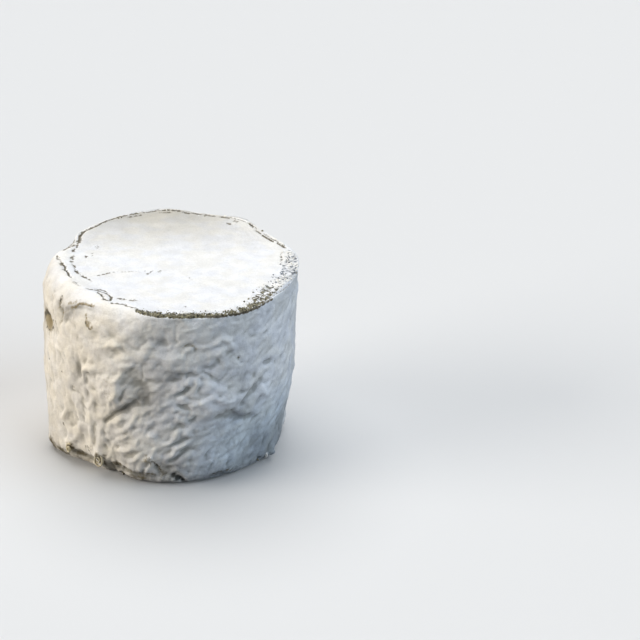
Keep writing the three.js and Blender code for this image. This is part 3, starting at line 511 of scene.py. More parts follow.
# How pale the floor looks, and how much it lights what stands on it
FLOOR_SEEN, FLOOR_BOUNCE = 0.69, 0.16


# ---- Shape functions: they take numpy arrays of azimuths and heights ----
def degrees_between(a, b):
    return (a - b + 180) % 360 - 180


def bell(distance):
    return np.exp(-distance * distance)


def smooth(t):
    t = np.clip(t, 0, 1)
    return t * t * (3 - 2 * t)


def stretch(azimuth, at, half, soft):
    """1 inside a stretch of azimuth, 0 outside it, with soft ends."""
    return smooth((half + soft - np.abs(degrees_between(azimuth, at))) / (2 * soft))


def with_bulges(radius, bulges, azimuth):
    return radius + sum(out * bell(degrees_between(azimuth, at) / wide) for at, wide, out in bulges)


def rim_radius(azimuth):
    return with_bulges(RIM_RADIUS, RIM_BULGES, azimuth) - SHOULDER_INSET * stretch(azimuth, **SHOULDER)


def rim_lift(azimuth):
    return with_bulges(0, RIM_WAVES, azimuth)


def side_radius(azimuth, z):
    """The even side, before folds: foot rounding, taper and shoulder."""
    wall = with_bulges(WALL_RADIUS, WALL_BULGES, azimuth)
    foot = with_bulges(FOOT_RADIUS, FOOT_BULGES, azimuth)
    radius = foot + (wall - foot) * smooth(z / TAPER_HEIGHT)
    shoulder = EDGE_HEIGHT + SHOULDER_HEIGHT * stretch(azimuth, **SHOULDER_FADE)
    up = np.clip((z - HEIGHT + shoulder) / shoulder, 0, 1)
    drop = 1 - (1 - up**SHOULDER_POWER) ** (1 / SHOULDER_POWER)
    radius = radius - (wall - rim_radius(azimuth)) * drop
    crisp = stretch(azimuth, **CRISP_FOOT)
    rise = FOOT_RISE - CRISP_LESS_RISE * crisp
    reach = FOOT_REACH - CRISP_LESS_REACH * crisp
    down = np.clip((rise - z) / rise, 0, 1)
    return radius - reach * (1 - np.sqrt(1 - down * down))


def patches(azimuth, z, marks):
    """The strength of each soft round mark on the side, or the lift of each swelling."""
    return [strength * bell(degrees_between(azimuth, at) / wide) * bell((z - high) / tall)
            for at, high, wide, tall, strength in marks]


def near_rim(z):
    """0 low on the side and 1 just below the rim."""
    return smooth((z - HEIGHT + RIM_DEPTH) / RIM_SOFT)


def polar(azimuth, radius):
    """X and Y of places given by azimuth and radius."""
    return radius * np.cos(np.radians(azimuth)), radius * np.sin(np.radians(azimuth))


def grain(points, size, seed=0):
    """Smooth noise of about -1 to 1 at points; size is a bump's width, one number or X, Y and Z."""
    places = points / size + seed * SEED_STEP
    values = [noise.noise(Vector(place)) for place in places.reshape(-1, 3).tolist()]
    return np.array(values).reshape(points.shape[:-1])


def bumps(points, size, tall, seed):
    """Noise of a width and a height."""
    return tall * grain(points, size, seed)


def flocks(points):
    """How far crumbly crust stands out of the rind, or lies below it."""
    return bumps(points, *FLOCKS) - CRUST_DEPTH


def around(table, azimuth):
    """Values between the rows of a table that begin with an azimuth: one array for each other column."""
    rows = np.array(table, float)
    return [np.interp(azimuth, rows[:, 0], column, period=360) for column in rows.T[1:]]


def nearest_on_route(x, y, points):
    """How far places are from a route, their share of the way along it, and whether they are below it."""
    lengths = np.hypot(*np.diff(points, axis=0).T)
    nearest = np.full(x.shape, np.inf)
    along = np.zeros(x.shape)
    below = np.zeros(x.shape, bool)
    before = 0
    for (x0, y0), (x1, y1), length in zip(points, points[1:], lengths):
        dx, dy = x1 - x0, y1 - y0
        t = np.clip(((x - x0) * dx + (y - y0) * dy) / length**2, 0, 1)
        distance = np.hypot(x - x0 - t * dx, y - y0 - t * dy)
        closer = distance < nearest
        nearest = np.where(closer, distance, nearest)
        along = np.where(closer, (before + t * length) / lengths.sum(), along)
        side = ((x - x0) * dy - (y - y0) * dx) * (RIGHT * dy + DOWN * dx)
        below = np.where(closer, side > 0, below)
        before += length
    return nearest, along, below


def tapered(along, over, at_end):
    """1 along the middle of a route, and less towards its ends."""
    return smooth(np.minimum(along, 1 - along) / over + at_end)


def thin_mark(x, y, points, wide, taper):
    """The strength of a thin mark along a route, 0 to 1."""
    distance, along, _ = nearest_on_route(x, y, points)
    return bell(distance / wide) * tapered(along, *taper)


def draws(seed):
    """Even draws from 0 to 1, the same each time and the same as the solid's."""
    state = seed

    def draw():
        nonlocal state
        state = (state * 1664525 + 1013904223) % 2**32
        return state / 2**32

    return draw


# ---- The side's relief ----
def flow_tilt(azimuth, z):
    """Which way the wrinkles run: tilts are averaged as double angles, so that 175 and 5 degrees agree."""
    a = degrees_between(azimuth, FLOW_TABLE[:, 0]) / FLOW_DEGREES
    h = (z - FLOW_TABLE[:, 1]) / FLOW_HIGH
    weight = np.exp(-(a * a + h * h) / 2) + 1e-6
    double = 2 * np.radians(FLOW_TABLE[:, 2])
    return math.atan2((weight * np.sin(double)).sum(), (weight * np.cos(double)).sum()) / 2


class Relief:
    """Lift of the rind over a grid of azimuth columns and height rows, added up bead by bead."""

    def __init__(self, heights):
        self.heights = heights
        self.step = 360 / COLUMNS
        self.lift = np.zeros((len(heights), COLUMNS))

    def window(self, azimuth, z, reach_across, reach_up):
        """Rows and columns near a place, with their distances from it in millimetres."""
        first = np.searchsorted(self.heights, z - reach_up)
        last = np.searchsorted(self.heights, z + reach_up)
        rows = slice(first, last)
        middle = round((azimuth + 180) / self.step)
        spread = int(reach_across / MM_PER_DEGREE / self.step) + 2
        columns = np.arange(middle - spread, middle + spread + 1)
        x = (-180 + columns * self.step - azimuth) * MM_PER_DEGREE
        y = self.heights[rows] - z
        return rows, columns % COLUMNS, *np.meshgrid(x, y)

    def fold(self, wide, out, route):
        """A rounded bead along a route that dies down at both ends."""
        route = np.array(route, float)
        low, high = route.min(axis=0), route.max(axis=0)
        middle = (low + high) / 2
        margin = REACH_WIDE * FOLD_GENTLE * wide
        reach = (high - low) / 2
        rows, columns, x, y = self.window(
            middle[0], middle[1], reach[0] * MM_PER_DEGREE + margin, reach[1] + margin)
        points = (route - middle) * (MM_PER_DEGREE, 1)
        nearest, along, below = nearest_on_route(x, y, points)
        ends = FOLD_END + (1 - FOLD_END) * tapered(along, *FOLD_TAPER)
        wide = wide * np.where(below == (out > 0), FOLD_STEEP, FOLD_GENTLE)
        self.lift[rows, columns] += out * ends * bell(nearest / wide)

    def wrinkles(self, count, seed, lowest, highest, jitter, turn, shortest, longer, narrowest, wider,
                 lowest_out, more_out, inward, bend, trough):
        """Short bent beads spread evenly along the rind's flow, each with a groove beside it."""
        draw = draws(seed)
        plastic = 1.32471795724
        for i in range(1, count + 1):
            u, v = (0.5 + i / plastic) % 1, (0.5 + i / plastic**2) % 1
            azimuth = -180 + 360 * u + (draw() - 0.5) * jitter
            z = lowest + v * (highest - lowest) + (draw() - 0.5) * jitter
            tilt = flow_tilt(azimuth, z) + (draw() - 0.5) * math.radians(turn)
            length = shortest + longer * draw()
            wide = narrowest + wider * draw()
            out = lowest_out + more_out * draw()
            out = -out if draw() < inward else out
            curve = (draw() - 0.5) * bend
            reach = REACH_LONG * length + REACH_WIDE * wide
            rows, columns, x, y = self.window(azimuth, z, reach, reach)
            along = x * math.cos(tilt) + y * math.sin(tilt)
            across = y * math.cos(tilt) - x * math.sin(tilt) - curve * along * along
            bead = bell(across / np.where(across > 0, wide, STEEP * wide))
            bead -= trough * bell((across + GROOVE_AT * wide) / (STEEP * wide))
            self.lift[rows, columns] += out * bell(SOONER * along / length) * bead


def build_relief(azimuth, heights, place):
    """The rind's lift over the side's grid: place holds the points of the even side."""
    folds = Relief(heights)
    folds.lift += sum(patches(azimuth, heights[:, None], SWELLINGS))
    for fold in FOLDS + CREASES:
        folds.fold(*fold)
    wrinkles = Relief(heights)
    wrinkles.wrinkles(**WRINKLES)
    wrinkles.wrinkles(**FINE_WRINKLES)
    lift = warped(folds.lift, heights, place, FOLD_WARPS)
    lift += liveliness(azimuth, heights) * warped(wrinkles.lift, heights, place, WARPS)
    lift += sum(bumps(place, *swell) for swell in SWELLS)
    lift -= wandering_creases(place)
    kept = RELIEF_AT_RIM + (1 - RELIEF_AT_RIM) * smooth((HEIGHT - heights) / RELIEF_FADE_TOP)
    return lift * kept[:, None]


def wandering_creases(place):
    """Creases along the noise's level lines, which wider noise breaks up."""
    crease = bell(grain(place, CREASE_SIZE, CREASE_SEED) / CREASE_SHARE)
    return CREASE_DEPTH * crease * smooth(0.5 + 2 * grain(place, 2 * CREASE_SIZE, CREASE_SEED + 1))


def liveliness(azimuth, heights):
    """How strong the wrinkles are over the side's grid."""
    strong = around(LIVELINESS, azimuth)[0]
    calm = stretch(azimuth, **CALM_BAND) * smooth((heights[:, None] - CALM_HEIGHT) / CALM_SOFT + 0.5)
    return strong * (1 - (1 - CALM_KEPT) * calm)


def warped(lift, heights, place, warps):
    """The lift read from places that noise pushes about, so that no two wrinkles look alike."""
    across = sum(bumps(place, *warp) for warp in warps)
    upward = sum(bumps(place, size, far, seed + UPWARD_SEEDS) for size, far, seed in warps)
    column = np.arange(COLUMNS) + across / MM_PER_DEGREE / (360 / COLUMNS)
    row = np.interp(heights[:, None] + upward, heights, np.arange(len(heights)))
    i, j = np.floor(row).astype(int), np.floor(column).astype(int)
    up, on = row - i, column - j
    i_next = np.minimum(i + 1, len(heights) - 1)
    j, j_next = j % COLUMNS, (j + 1) % COLUMNS
    low = lift[i, j] * (1 - on) + lift[i, j_next] * on
    high = lift[i_next, j] * (1 - on) + lift[i_next, j_next] * on
    return low * (1 - up) + high * up


def hollowness(lift):
    """How far each place lies under the rind around it, in millimetres."""
    around_it = lift
    for axis, reach in ((1, HOLLOW_COLUMNS), (0, HOLLOW_ROWS)) * 2:
        wide = [(0, 0), (0, 0)]
        wide[axis] = (reach, reach)
        padded = np.pad(around_it, wide, mode="wrap" if axis else "edge")
        length = lift.shape[axis]
        around_it = sum(np.take(padded, range(k, k + length), axis=axis) for k in range(2 * reach + 1))
        around_it = around_it / (2 * reach + 1)
    return around_it - lift


# ---- Crust and cracks ----
def crust_cover(azimuth, edge):
    """Where the dark crust may show, 0 to 1; edge is the distance out and down from the rim's edge."""
    inward, down, fading, thick = around(CRUST, azimuth)
    inside = smooth((edge + inward) / (CRUST_LEAST_FADE + fading * inward))
    return thick * inside * smooth((down - edge) / CRUST_FADE_DOWN)


def crack_lines(x, y, cracks):
    """How dark and how deep the cracks are at each place of the top face."""
    dark, deep = np.zeros(x.shape), np.zeros(x.shape)
    for wide, depth, strength, route in cracks:
        points = np.stack(polar(*np.array(route, float).T), axis=-1)
        line = thin_mark(x, y, points, wide, CRACK_TAPER)
        dark = np.maximum(dark, strength * line)
        deep = np.maximum(deep, depth * line)
    return dark, deep


def rim_edge_lines():
    """The broken lines just inside the rim, along its edge."""
    cracks = []
    for first, last, inset, wide, dark in RIM_LINES:
        azimuths = np.linspace(first, last, RIM_LINE_POINTS)
        cracks.append((wide, RIM_LINE_DEPTH, dark, [*zip(azimuths, rim_radius(azimuths) - inset)]))
    return cracks


# ---- The wheel's corners ----
def row_heights():
    """Heights of the rows of corners, from the underside up to the rim."""
    quarter = math.pi / 2
    foot = [FOOT_RISE * (1 - math.cos(i / FOOT_ROWS * quarter)) for i in range(FOOT_ROWS)]
    top = HEIGHT - EDGE_BAND
    wall = [FOOT_RISE + (top - FOOT_RISE) * i / WALL_ROWS for i in range(WALL_ROWS)]
    edge = [top + EDGE_BAND * (1 - (1 - i / EDGE_ROWS) ** EDGE_CROWDING) for i in range(EDGE_ROWS + 1)]
    return np.array(foot + wall + edge)


def top_shares():
    """Radii of the rings on the top face, as shares of the rim's: close together near the rim."""
    near = 1 - RIM_RING_STEP * np.arange(1, RIM_RINGS + 1)
    steps = np.arange(1, INNER_RINGS + 1) / (INNER_RINGS + 1)
    return np.concatenate([near, near[-1] * (1 - steps**INNER_CROWDING)])


class Wheel:
    """Corners of the wheel in millimetres, ring by ring from the underside to the middle of the top face."""

    def __init__(self):
        self.azimuth = -180 + 360 / COLUMNS * np.arange(COLUMNS)
        self.make_side()
        self.make_top()
        under = np.array(BOTTOM_RINGS)[:, None, None] * self.side[:1]
        self.rings = np.concatenate([under, self.side, self.top])
        self.first_side, self.first_top = len(under), len(under) + len(self.side)
        self.centres = np.array([[0, 0, 0], self.top[-1].mean(axis=0)])
        self.fit()

    def make_side(self):
        """The side's corners, with how hollow they are and how far crust and cracks cover them."""
        heights = row_heights()
        a, z = np.meshgrid(self.azimuth, heights)
        radius = side_radius(a, z)
        place = np.stack([*polar(a, radius), z], axis=-1)
        lift = build_relief(self.azimuth, heights, place)
        self.hollow = hollowness(lift)
        crumble = np.minimum(around(CRUST, a)[3], 1) * RIM_CRUMBLE + (1 - RIM_CRUMBLE)
        lift = lift + bumps(place, *RIM_ROUGH) * near_rim(z) * crumble + bumps(place, *SIDE_ROUGH)
        self.side_crust = crust_cover(a, HEIGHT - z)
        dark, deep = crack_lines(place[..., 0], place[..., 1], TOP_CRACKS)
        on_crest = smooth((z - HEIGHT + CREST) / (0.5 * CREST))
        self.side_crack = dark * on_crest
        lift = lift + self.side_crust * flocks(place)
        wave = rim_lift(a) * smooth((z - HEIGHT + RIM_WAVE_DEPTH) / RIM_WAVE_DEPTH)
        self.side = np.stack([*polar(a, radius + lift), z + wave - deep * on_crest], axis=-1)
        self.side_grid = a, z

    def make_top(self):
        """The top face's corners, in rings that shrink towards its middle, with their crust and cracks."""
        rim = np.hypot(*self.side[-1, :, :2].T)
        share = top_shares()[:, None]
        a, radius = np.broadcast_arrays(self.azimuth, share * rim)
        x, y = polar(a, radius)
        z = HEIGHT + rim_lift(a) * share**RIM_WAVE_POWER - TOP_DIP * smooth((1 - share) / DIP_WIDTH)
        place = np.stack([x, y, z], axis=-1)
        inner = smooth((1 - share) / TOP_WAVES_FROM)
        z = z + inner * sum(bumps(place, *wave) for wave in TOP_WAVES)
        z = z + (TOP_ROUGH_TALL - TOP_ROUGH_LESS * inner) * bumps(place, *TOP_ROUGH)
        self.top_crust = crust_cover(a, radius - rim)
        self.top_crack, deep = crack_lines(x, y, TOP_CRACKS + rim_edge_lines())
        self.top = np.stack([x, y, z - deep + self.top_crust * flocks(place)], axis=-1)
        self.top_grid = a, radius

    def fit(self):
        """Centres the wheel, and keeps it inside the solid's box."""
        low, high = self.side.min(axis=(0, 1)), self.side.max(axis=(0, 1))
        room = (np.array(CAD_BOX[1]) - np.array(CAD_BOX[0])) / MM
        self.shift = np.array([*(low + high)[:2] / 2, 0])
        self.shrink = np.array([*np.minimum(1, room / (high - low))[:2], 1])
        self.highest = CAD_BOX[1][2] / MM
        self.rings, self.centres = self.fitted(self.rings), self.fitted(self.centres)

    def fitted(self, points):
        points = (points - self.shift) * self.shrink
        points[..., 2] = np.minimum(points[..., 2], self.highest)
        return points

    def bounded(self, corners):
        """Corners of a loose piece, kept inside the wheel's box."""
        return np.clip(corners, self.rings.min(axis=(0, 1)), self.rings.max(axis=(0, 1)))

    def on_side(self, azimuth, z):
        """The corner of the side nearest to an azimuth and a height."""
        row = np.abs(self.side_grid[1][:, 0] - z).argmin()
        return self.rings[self.first_side + row, self.column(azimuth)]

    def on_top(self, azimuth, inset):
        """The corner of the top face nearest to an azimuth and a distance in from the edge."""
        column = self.column(azimuth)
        radii = self.top_grid[1][:, column]
        ring = np.abs(radii - (radii[0] - inset)).argmin()
        return self.rings[self.first_top + ring, column]

    def top_inset(self):
        """Azimuth and distance in from the edge, below 0, over the top face."""
        azimuth, radius = self.top_grid
        return azimuth, radius - np.hypot(*self.side[-1, :, :2].T)

    def column(self, azimuth):
        return round((azimuth + 180) / 360 * COLUMNS) % COLUMNS

    def layer(self, side, top, under=0.0):
        """One value for each corner, from arrays over the side's and the top's rings."""
        below = np.full((self.first_side, COLUMNS) + side.shape[2:], under)
        flat = np.concatenate([below, side, top]).reshape((-1,) + side.shape[2:])
        return np.concatenate([flat, flat[:1], flat[-1:]])


# ---- Colours and marks, worked out for each corner ----
def blend(first, second, share):
    share = np.asarray(share)[..., None]
    return first * (1 - share) + second * share


def side_lines(a, z, lines):
    """Strength of thin marks along routes of azimuth and height."""
    strength = np.zeros(a.shape)
    for wide, dark, route in lines:
        points = np.array(route, float) * (MM_PER_DEGREE, 1)
        strength = np.maximum(strength, dark * thin_mark(a * MM_PER_DEGREE, z, points, wide, LINE_TAPER))
    return strength


def side_tint(a, z, place):
    """The side's colour: pale, cream and painted warm light on the left, cool tint and painted cool light on
    the right, painted cool shade with bluish mould low on the right, and lighter or darker by the mould and
    by painted light and shade.
    """
    # Painted warm light, with cream rind, on the left and on a swelling; painted cool light, with cool tint,
    # on the right
    warm_light_and_cream = np.max([stretch(a, **CREAM_AND_WARM_LIT_SIDE), *patches(a, z, CREAM_AND_WARM_LIT_PATCHES)], axis=0)
    tint = blend(np.broadcast_to(PALE, a.shape + (3,)), CREAM_AND_WARM_LIGHT, warm_light_and_cream)
    tint = blend(tint, COOL_TINT_AND_COOL_LIGHT, stretch(a, **COOL_AND_COOL_LIT_SIDE))
    tint = blend(tint, WHITE, SHOULDER_WHITE * near_rim(z) * stretch(a, **SHOULDER_FADE))
    # Painted light and painted shade, with thick and thin mould, make the side lighter or darker
    bloom_and_shading = sum(patches(a, z, BLOOM_AND_PAINTED_SHADING))
    bloom_and_shading = bloom_and_shading * (1 + bumps(place, *BLOOM_AND_SHADING_VARIES)) + bumps(place, *BLOOM_AND_SHADING_DRIFTS)
    tint = tint * (1 + np.where(bloom_and_shading > 0, BLOOM_AND_LIGHT_ADDS, THIN_MOULD_AND_SHADE_TAKES) * np.clip(bloom_and_shading, -1, 1))[..., None]
    # Painted cool shade, with bluish mould, low on the right
    cool_shade_and_bluish = stretch(a, **BLUISH_MOULD_AND_SHADE_SIDE) * smooth((BLUISH_HEIGHT - z) / BLUISH_FADE)
    tint = tint * blend(np.ones(3), BLUE_MOULD_AND_SHADE_CAST, cool_shade_and_bluish)
    return tint / np.maximum(1, tint.max(axis=-1, keepdims=True) / LIGHTEST)


def top_tint(place):
    """The top face's colour: white, beige at the back, cream and painted warm light on the left, painted
    shade along the right edge.
    """
    x, y = place[..., 0], place[..., 1]
    azimuth, radius = np.degrees(np.arctan2(y, x)), np.hypot(x, y)
    far = np.clip((y + bumps(place, *BEIGE_WAVES) - BEIGE_FROM) / BEIGE_OVER, 0, 1)
    far = far * (1 - BEIGE_LESS * smooth((x - LESS_FROM) / LESS_OVER))
    tint = blend(np.broadcast_to(WHITE, place.shape), BEIGE, far)
    outer = smooth((radius - CREAM_FROM) / CREAM_OVER)
    # Painted warm light, with cream rind, along the top's left edge
    tint = blend(tint, CREAM_AND_WARM_LIGHT, CREAM_SHARE * stretch(azimuth, **CREAM_EDGE) * outer)
    # Painted shade along the right of the rim's edge, where it turns down
    shaded_in = smooth((SHADED_RIM_WIDTH - (rim_radius(azimuth) - radius)) / SHADED_RIM_WIDTH)
    return blend(tint, RIM_EDGE_SHADE, stretch(azimuth, **SHADED_RIM_EDGE) * shaded_in)


def rim_place(azimuth, edge):
    """Places in metres along the rim and in or down from its edge, for strokes that run across the rim."""
    return np.stack([azimuth * MM_PER_DEGREE, edge, np.zeros(azimuth.shape)], axis=-1) * MM


# ---- Pieces ----
def ring_faces(rings, columns):
    """Quads between neighbouring rings of corners, and a fan of triangles at each end's centre."""
    here = np.arange(columns)
    after = (here + 1) % columns
    starts = np.arange(rings - 1)[:, None] * columns
    quads = [starts + here, starts + after, starts + columns + after, starts + columns + here]
    last, centres = (rings - 1) * columns, rings * columns
    fans = [(centres, j, i) for i, j in zip(here.tolist(), after.tolist())]
    fans += [(centres + 1, last + i, last + j) for i, j in zip(here.tolist(), after.tolist())]
    return np.stack(quads, axis=-1).reshape(-1, 4).tolist() + fans


def joined(parts):
    """One array of corners and one list of faces from several."""
    corners, faces, first = [], [], 0
    for part, own_faces in parts:
        faces += [tuple(first + i for i in face) for face in own_faces]
        corners.append(part)
        first += len(part)
    return np.concatenate(corners), faces


def unit(vectors):
    return vectors / np.linalg.norm(vectors, axis=1, keepdims=True)


def add_layer(mesh, name, values):
    colour = values.ndim == 2
    layer = mesh.attributes.new(name, "FLOAT_COLOR" if colour else "FLOAT", "POINT")
    if colour:
        values = np.concatenate([values, np.ones((len(values), 1))], axis=1)
    layer.data.foreach_set("color" if colour else "value", values.astype(np.float32).ravel())


def make_piece(name, corners, faces, layers, material):
    """A closed piece from corners in millimetres; it rides on the wheel's body."""
    mesh = bpy.data.meshes.new(name)
    mesh.from_pydata((corners * MM).tolist(), [], faces)
    mesh.shade_smooth()
    for layer, values in layers.items():
        add_layer(mesh, layer, values)
    mesh.materials.append(material)
    piece = bpy.data.objects.new(name, mesh)
    bpy.context.collection.objects.link(piece)
    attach(piece, "root")
    return piece


def make_wheel(wheel, material):
    """The wheel itself, in place of its solid, with its colours and marks in layers."""
    corners = np.concatenate([wheel.rings.reshape(-1, 3), wheel.centres])
    a, z = wheel.side_grid
    none = np.zeros(wheel.top.shape[:2])
    ochre = np.max([side_lines(a, z, OCHRE_LINES), *patches(a, z, OCHRE_MARKS)], axis=0)
    # Cracks, with painted shadow lines under the rim's lip and in creases
    crack_and_shadow_line = np.maximum(side_lines(a, z, DARK_LINES_AND_PAINTED_SHADOWS), wheel.side_crack)
    grey_foot = stretch(a, **GREYER_FOOT) * smooth(2 - z / GREYER_HEIGHT)
    greyer = np.maximum(stretch(a, **GREYER), grey_foot)
    layers = {
        "tint": wheel.layer(side_tint(a, z, wheel.side), top_tint(wheel.top), UNDER),
        "hollow": wheel.layer(wheel.hollow, none),
        "crust": wheel.layer(wheel.side_crust, wheel.top_crust),
        "crack_and_shadow_line": wheel.layer(crack_and_shadow_line, wheel.top_crack),
        "ochre": wheel.layer(ochre, none),
        "dirt_and_shade": wheel.layer(np.max(patches(a, z, DIRT_AND_SHADE_MARKS), axis=0), none, UNDERSIDE_DARKENING),
        "greyer": wheel.layer(greyer, stretch(wheel.top_grid[0], **GREYER)),
        "rim_place": wheel.layer(rim_place(a, HEIGHT - z), rim_place(*wheel.top_inset())),
    }
    rind = make_piece("wrinkled_rind", corners, ring_faces(len(wheel.rings), COLUMNS), layers, material)
    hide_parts(NODE)


def tube(path, wide, out):
    """Corners and faces of a closed tube round a path that lies across the direction out."""
    ahead = unit(np.gradient(path, axis=0))
    beside = unit(np.cross(ahead, out))
    above = np.cross(beside, ahead)
    turn = 2 * math.pi * np.arange(CURL_SIDES)[:, None] / CURL_SIDES
    offsets = np.cos(turn) * beside[:, None] + CURL_DEEP * np.sin(turn) * above[:, None]
    rings = path[:, None] + wide[:, None, None] * offsets
    faces = [(first, *others[::-1]) for first, *others in ring_faces(len(path), CURL_SIDES)]
    return np.concatenate([rings.reshape(-1, 3), path[[0, -1]]]), faces


def curl(wheel, azimuth, high, outer, turns, start, way):
    """A rolled scrap of rind: a tube that winds in towards its middle, raised off the side."""
    share = np.linspace(0, 1, CURL_STEPS)
    out = np.array([*polar(azimuth, 1), CURL_LEAN])
    across = np.array([*polar(azimuth + 90, 1), 0])
    angle = np.radians(start) + way * 2 * math.pi * turns * share
    reach = outer * (1 - CURL_TIGHTENS * share)
    raised = CURL_RAISED * (CURL_LOW + (1 - CURL_LOW) * share**CURL_RISE)
    path = wheel.on_side(azimuth, high) + np.outer(reach * np.cos(angle), across) + np.outer(raised, out)
    path[:, 2] += CURL_TALL * reach * np.sin(angle)
    closing = np.sqrt(np.clip(1 - (2 * share - 1) ** CURL_BLUNT, CURL_TIP, 1))
    return tube(path, CURL_WIDE * closing * (1 - CURL_THINS * share), out)


def make_curls(wheel, material):
    corners, faces = joined([curl(wheel, *row) for row in CURLS])
    count = len(corners)
    layers = {"tint": np.tile(CURL_COLOUR, (count, 1)), "ochre": np.full(count, CURL_OCHRE)}
    make_piece("curled_scraps", wheel.bounded(corners), faces, layers, material)


def unit_ball():
    """Corners and triangles of a small ball."""
    form = bmesh.new()
    bmesh.ops.create_icosphere(form, subdivisions=2, radius=1)
    corners = np.array([corner.co[:] for corner in form.verts])
    faces = [tuple(corner.index for corner in face.verts) for face in form.faces]
    form.free()
    return corners, faces


def crumb_places(wheel, draw):
    """Where the crumbs and chips lie: middle, size, and whether it is a dark one."""
    places = []
    for count, first, last, share in CRUMBS:
        for i in range(count):
            azimuth = first + (last - first) * (i + draw()) / count
            inset = around(CRUST, azimuth)[0] * draw() ** CRUMB_OUTWARD
            size = CRUMB_SMALLEST + CRUMB_LARGER * draw() ** CRUMB_SMALLER
            places.append((wheel.on_top(azimuth, inset), size, draw() < share))
    return places + [(wheel.on_side(azimuth, high), size, dark) for azimuth, high, size, dark in CHIPS]


def make_crumbs(wheel, material):
    """Lumps of white and brown crust scattered along the rim, and a few chips on the side."""
    draw = draws(CRUMB_SEED)
    ball, triangles = unit_ball()
    lumps, dark = [], []
    for number, (middle, size, is_dark) in enumerate(crumb_places(wheel, draw)):
        lump = ball * (1 + bumps(ball, *CRUMB_LUMPS, number)[:, None])
        turn = Euler([CRUMB_TURN * draw() for _ in range(3)]).to_matrix()
        lumps.append(((lump * CRUMB_SHAPE) @ np.array(turn) * size + middle, triangles))
        dark += [float(is_dark)] * len(ball)
    corners, faces = joined(lumps)
    corners = wheel.bounded(corners)
    azimuths = np.degrees(np.arctan2(corners[:, 1], corners[:, 0]))
    layers = {
        "tint": np.tile(CRUMB_COLOUR, (len(corners), 1)),
        "crust": CRUMB_DARK * np.array(dark),
        "greyer": stretch(azimuths, **GREYER),
    }
    make_piece("rim_crumbs", corners, faces, layers, material)


# ---- Materials ----
def add_node(tree, kind, values=None, **settings):
    """A shader node; values are sockets to link from, or plain values to set."""
    made = tree.nodes.new(kind)
    for name, value in settings.items():
        setattr(made, name, value)
    for name, value in (values or {}).items():
        if isinstance(value, bpy.types.NodeSocket):
            tree.links.new(value, made.inputs[name])
        else:
            made.inputs[name].default_value = value
    return made


def layer_value(tree, name, output="Fac"):
    return add_node(tree, "ShaderNodeAttribute", attribute_name=name).outputs[output]


def speckle(tree, size, detail=3, roughness=0.5, squeeze=(1, 1, 1), place=None):
    """Noise from 0 to 1 with bumps of a size in millimetres, stretched where squeeze is under 1."""
    place = place or add_node(tree, "ShaderNodeTexCoord").outputs["Object"]
    stretched = add_node(tree, "ShaderNodeMapping", {"Vector": place, "Scale": squeeze}).outputs[0]
    values = {"Vector": stretched, "Scale": 1 / (size * MM), "Detail": detail, "Roughness": roughness}
    return add_node(tree, "ShaderNodeTexNoise", values).outputs[0]


def spread(tree, value, low, high, to_low=0.0, to_high=1.0):
    """A value stretched from one range to another with soft ends."""
    values = {"Value": value, "From Min": low, "From Max": high, "To Min": to_low, "To Max": to_high}
    return add_node(tree, "ShaderNodeMapRange", values, interpolation_type="SMOOTHSTEP").outputs[0]


def calculate(tree, operation, first, second=0):
    return add_node(tree, "ShaderNodeMath", {0: first, 1: second}, operation=operation).outputs[0]


def weighted_sum(tree, *terms):
    """The sum of values, each times its weight."""
    whole, *others = [calculate(tree, "MULTIPLY", value, weight) for value, weight in terms]
    for other in others:
        whole = calculate(tree, "ADD", whole, other)
    return whole


def mix(tree, share, first, second, kind="MIX"):
    """Two colours mixed by a share, each a socket or plain red, green and blue."""
    first, second = (
        value if isinstance(value, bpy.types.NodeSocket) else (*value, 1) for value in (first, second))
    made = add_node(tree, "ShaderNodeMix", {0: share, 6: first, 7: second}, data_type="RGBA", blend_type=kind)
    return made.outputs[2]


def grey(tree, value):
    """A grey colour from a socket of strength, to multiply with."""
    return add_node(tree, "ShaderNodeCombineColor", {"Red": value, "Green": value, "Blue": value}).outputs[0]


def shaded(tree, colour, noise_size, shades):
    """A colour made darker and lighter by noise."""
    shade = spread(tree, speckle(tree, *noise_size), *NOISE_RANGE, *shades)
    return mix(tree, 1, colour, grey(tree, shade), "MULTIPLY")


def varied(tree, noise_size, first, second):
    """Two colours by turns, as noise has it."""
    return mix(tree, spread(tree, speckle(tree, *noise_size), *NARROW_RANGE), first, second)


def broken(tree, name, size, low, high, ragged):
    """A mark's strength with an edge that fine noise breaks up."""
    noise_value = spread(tree, speckle(tree, size), *NOISE_RANGE, -ragged, ragged)
    return spread(tree, calculate(tree, "ADD", layer_value(tree, name), noise_value), low, high)


def crust_specks(tree):
    """Dark specks and short strokes across the rim, which run together where the crust is thick."""
    strokes = speckle(tree, *CRUST_STROKES, STROKE_SHAPE, layer_value(tree, "rim_place", "Vector"))
    over = weighted_sum(
        tree, (strokes, STROKE_SHARE), (speckle(tree, *CRUST_FINE), FINE_SHARE),
        (speckle(tree, *CRUST_CLUMPS), CLUMP_SHARE), (layer_value(tree, "crust"), LAYER_SHARE))
    return spread(tree, over, *CRUST_EDGE)


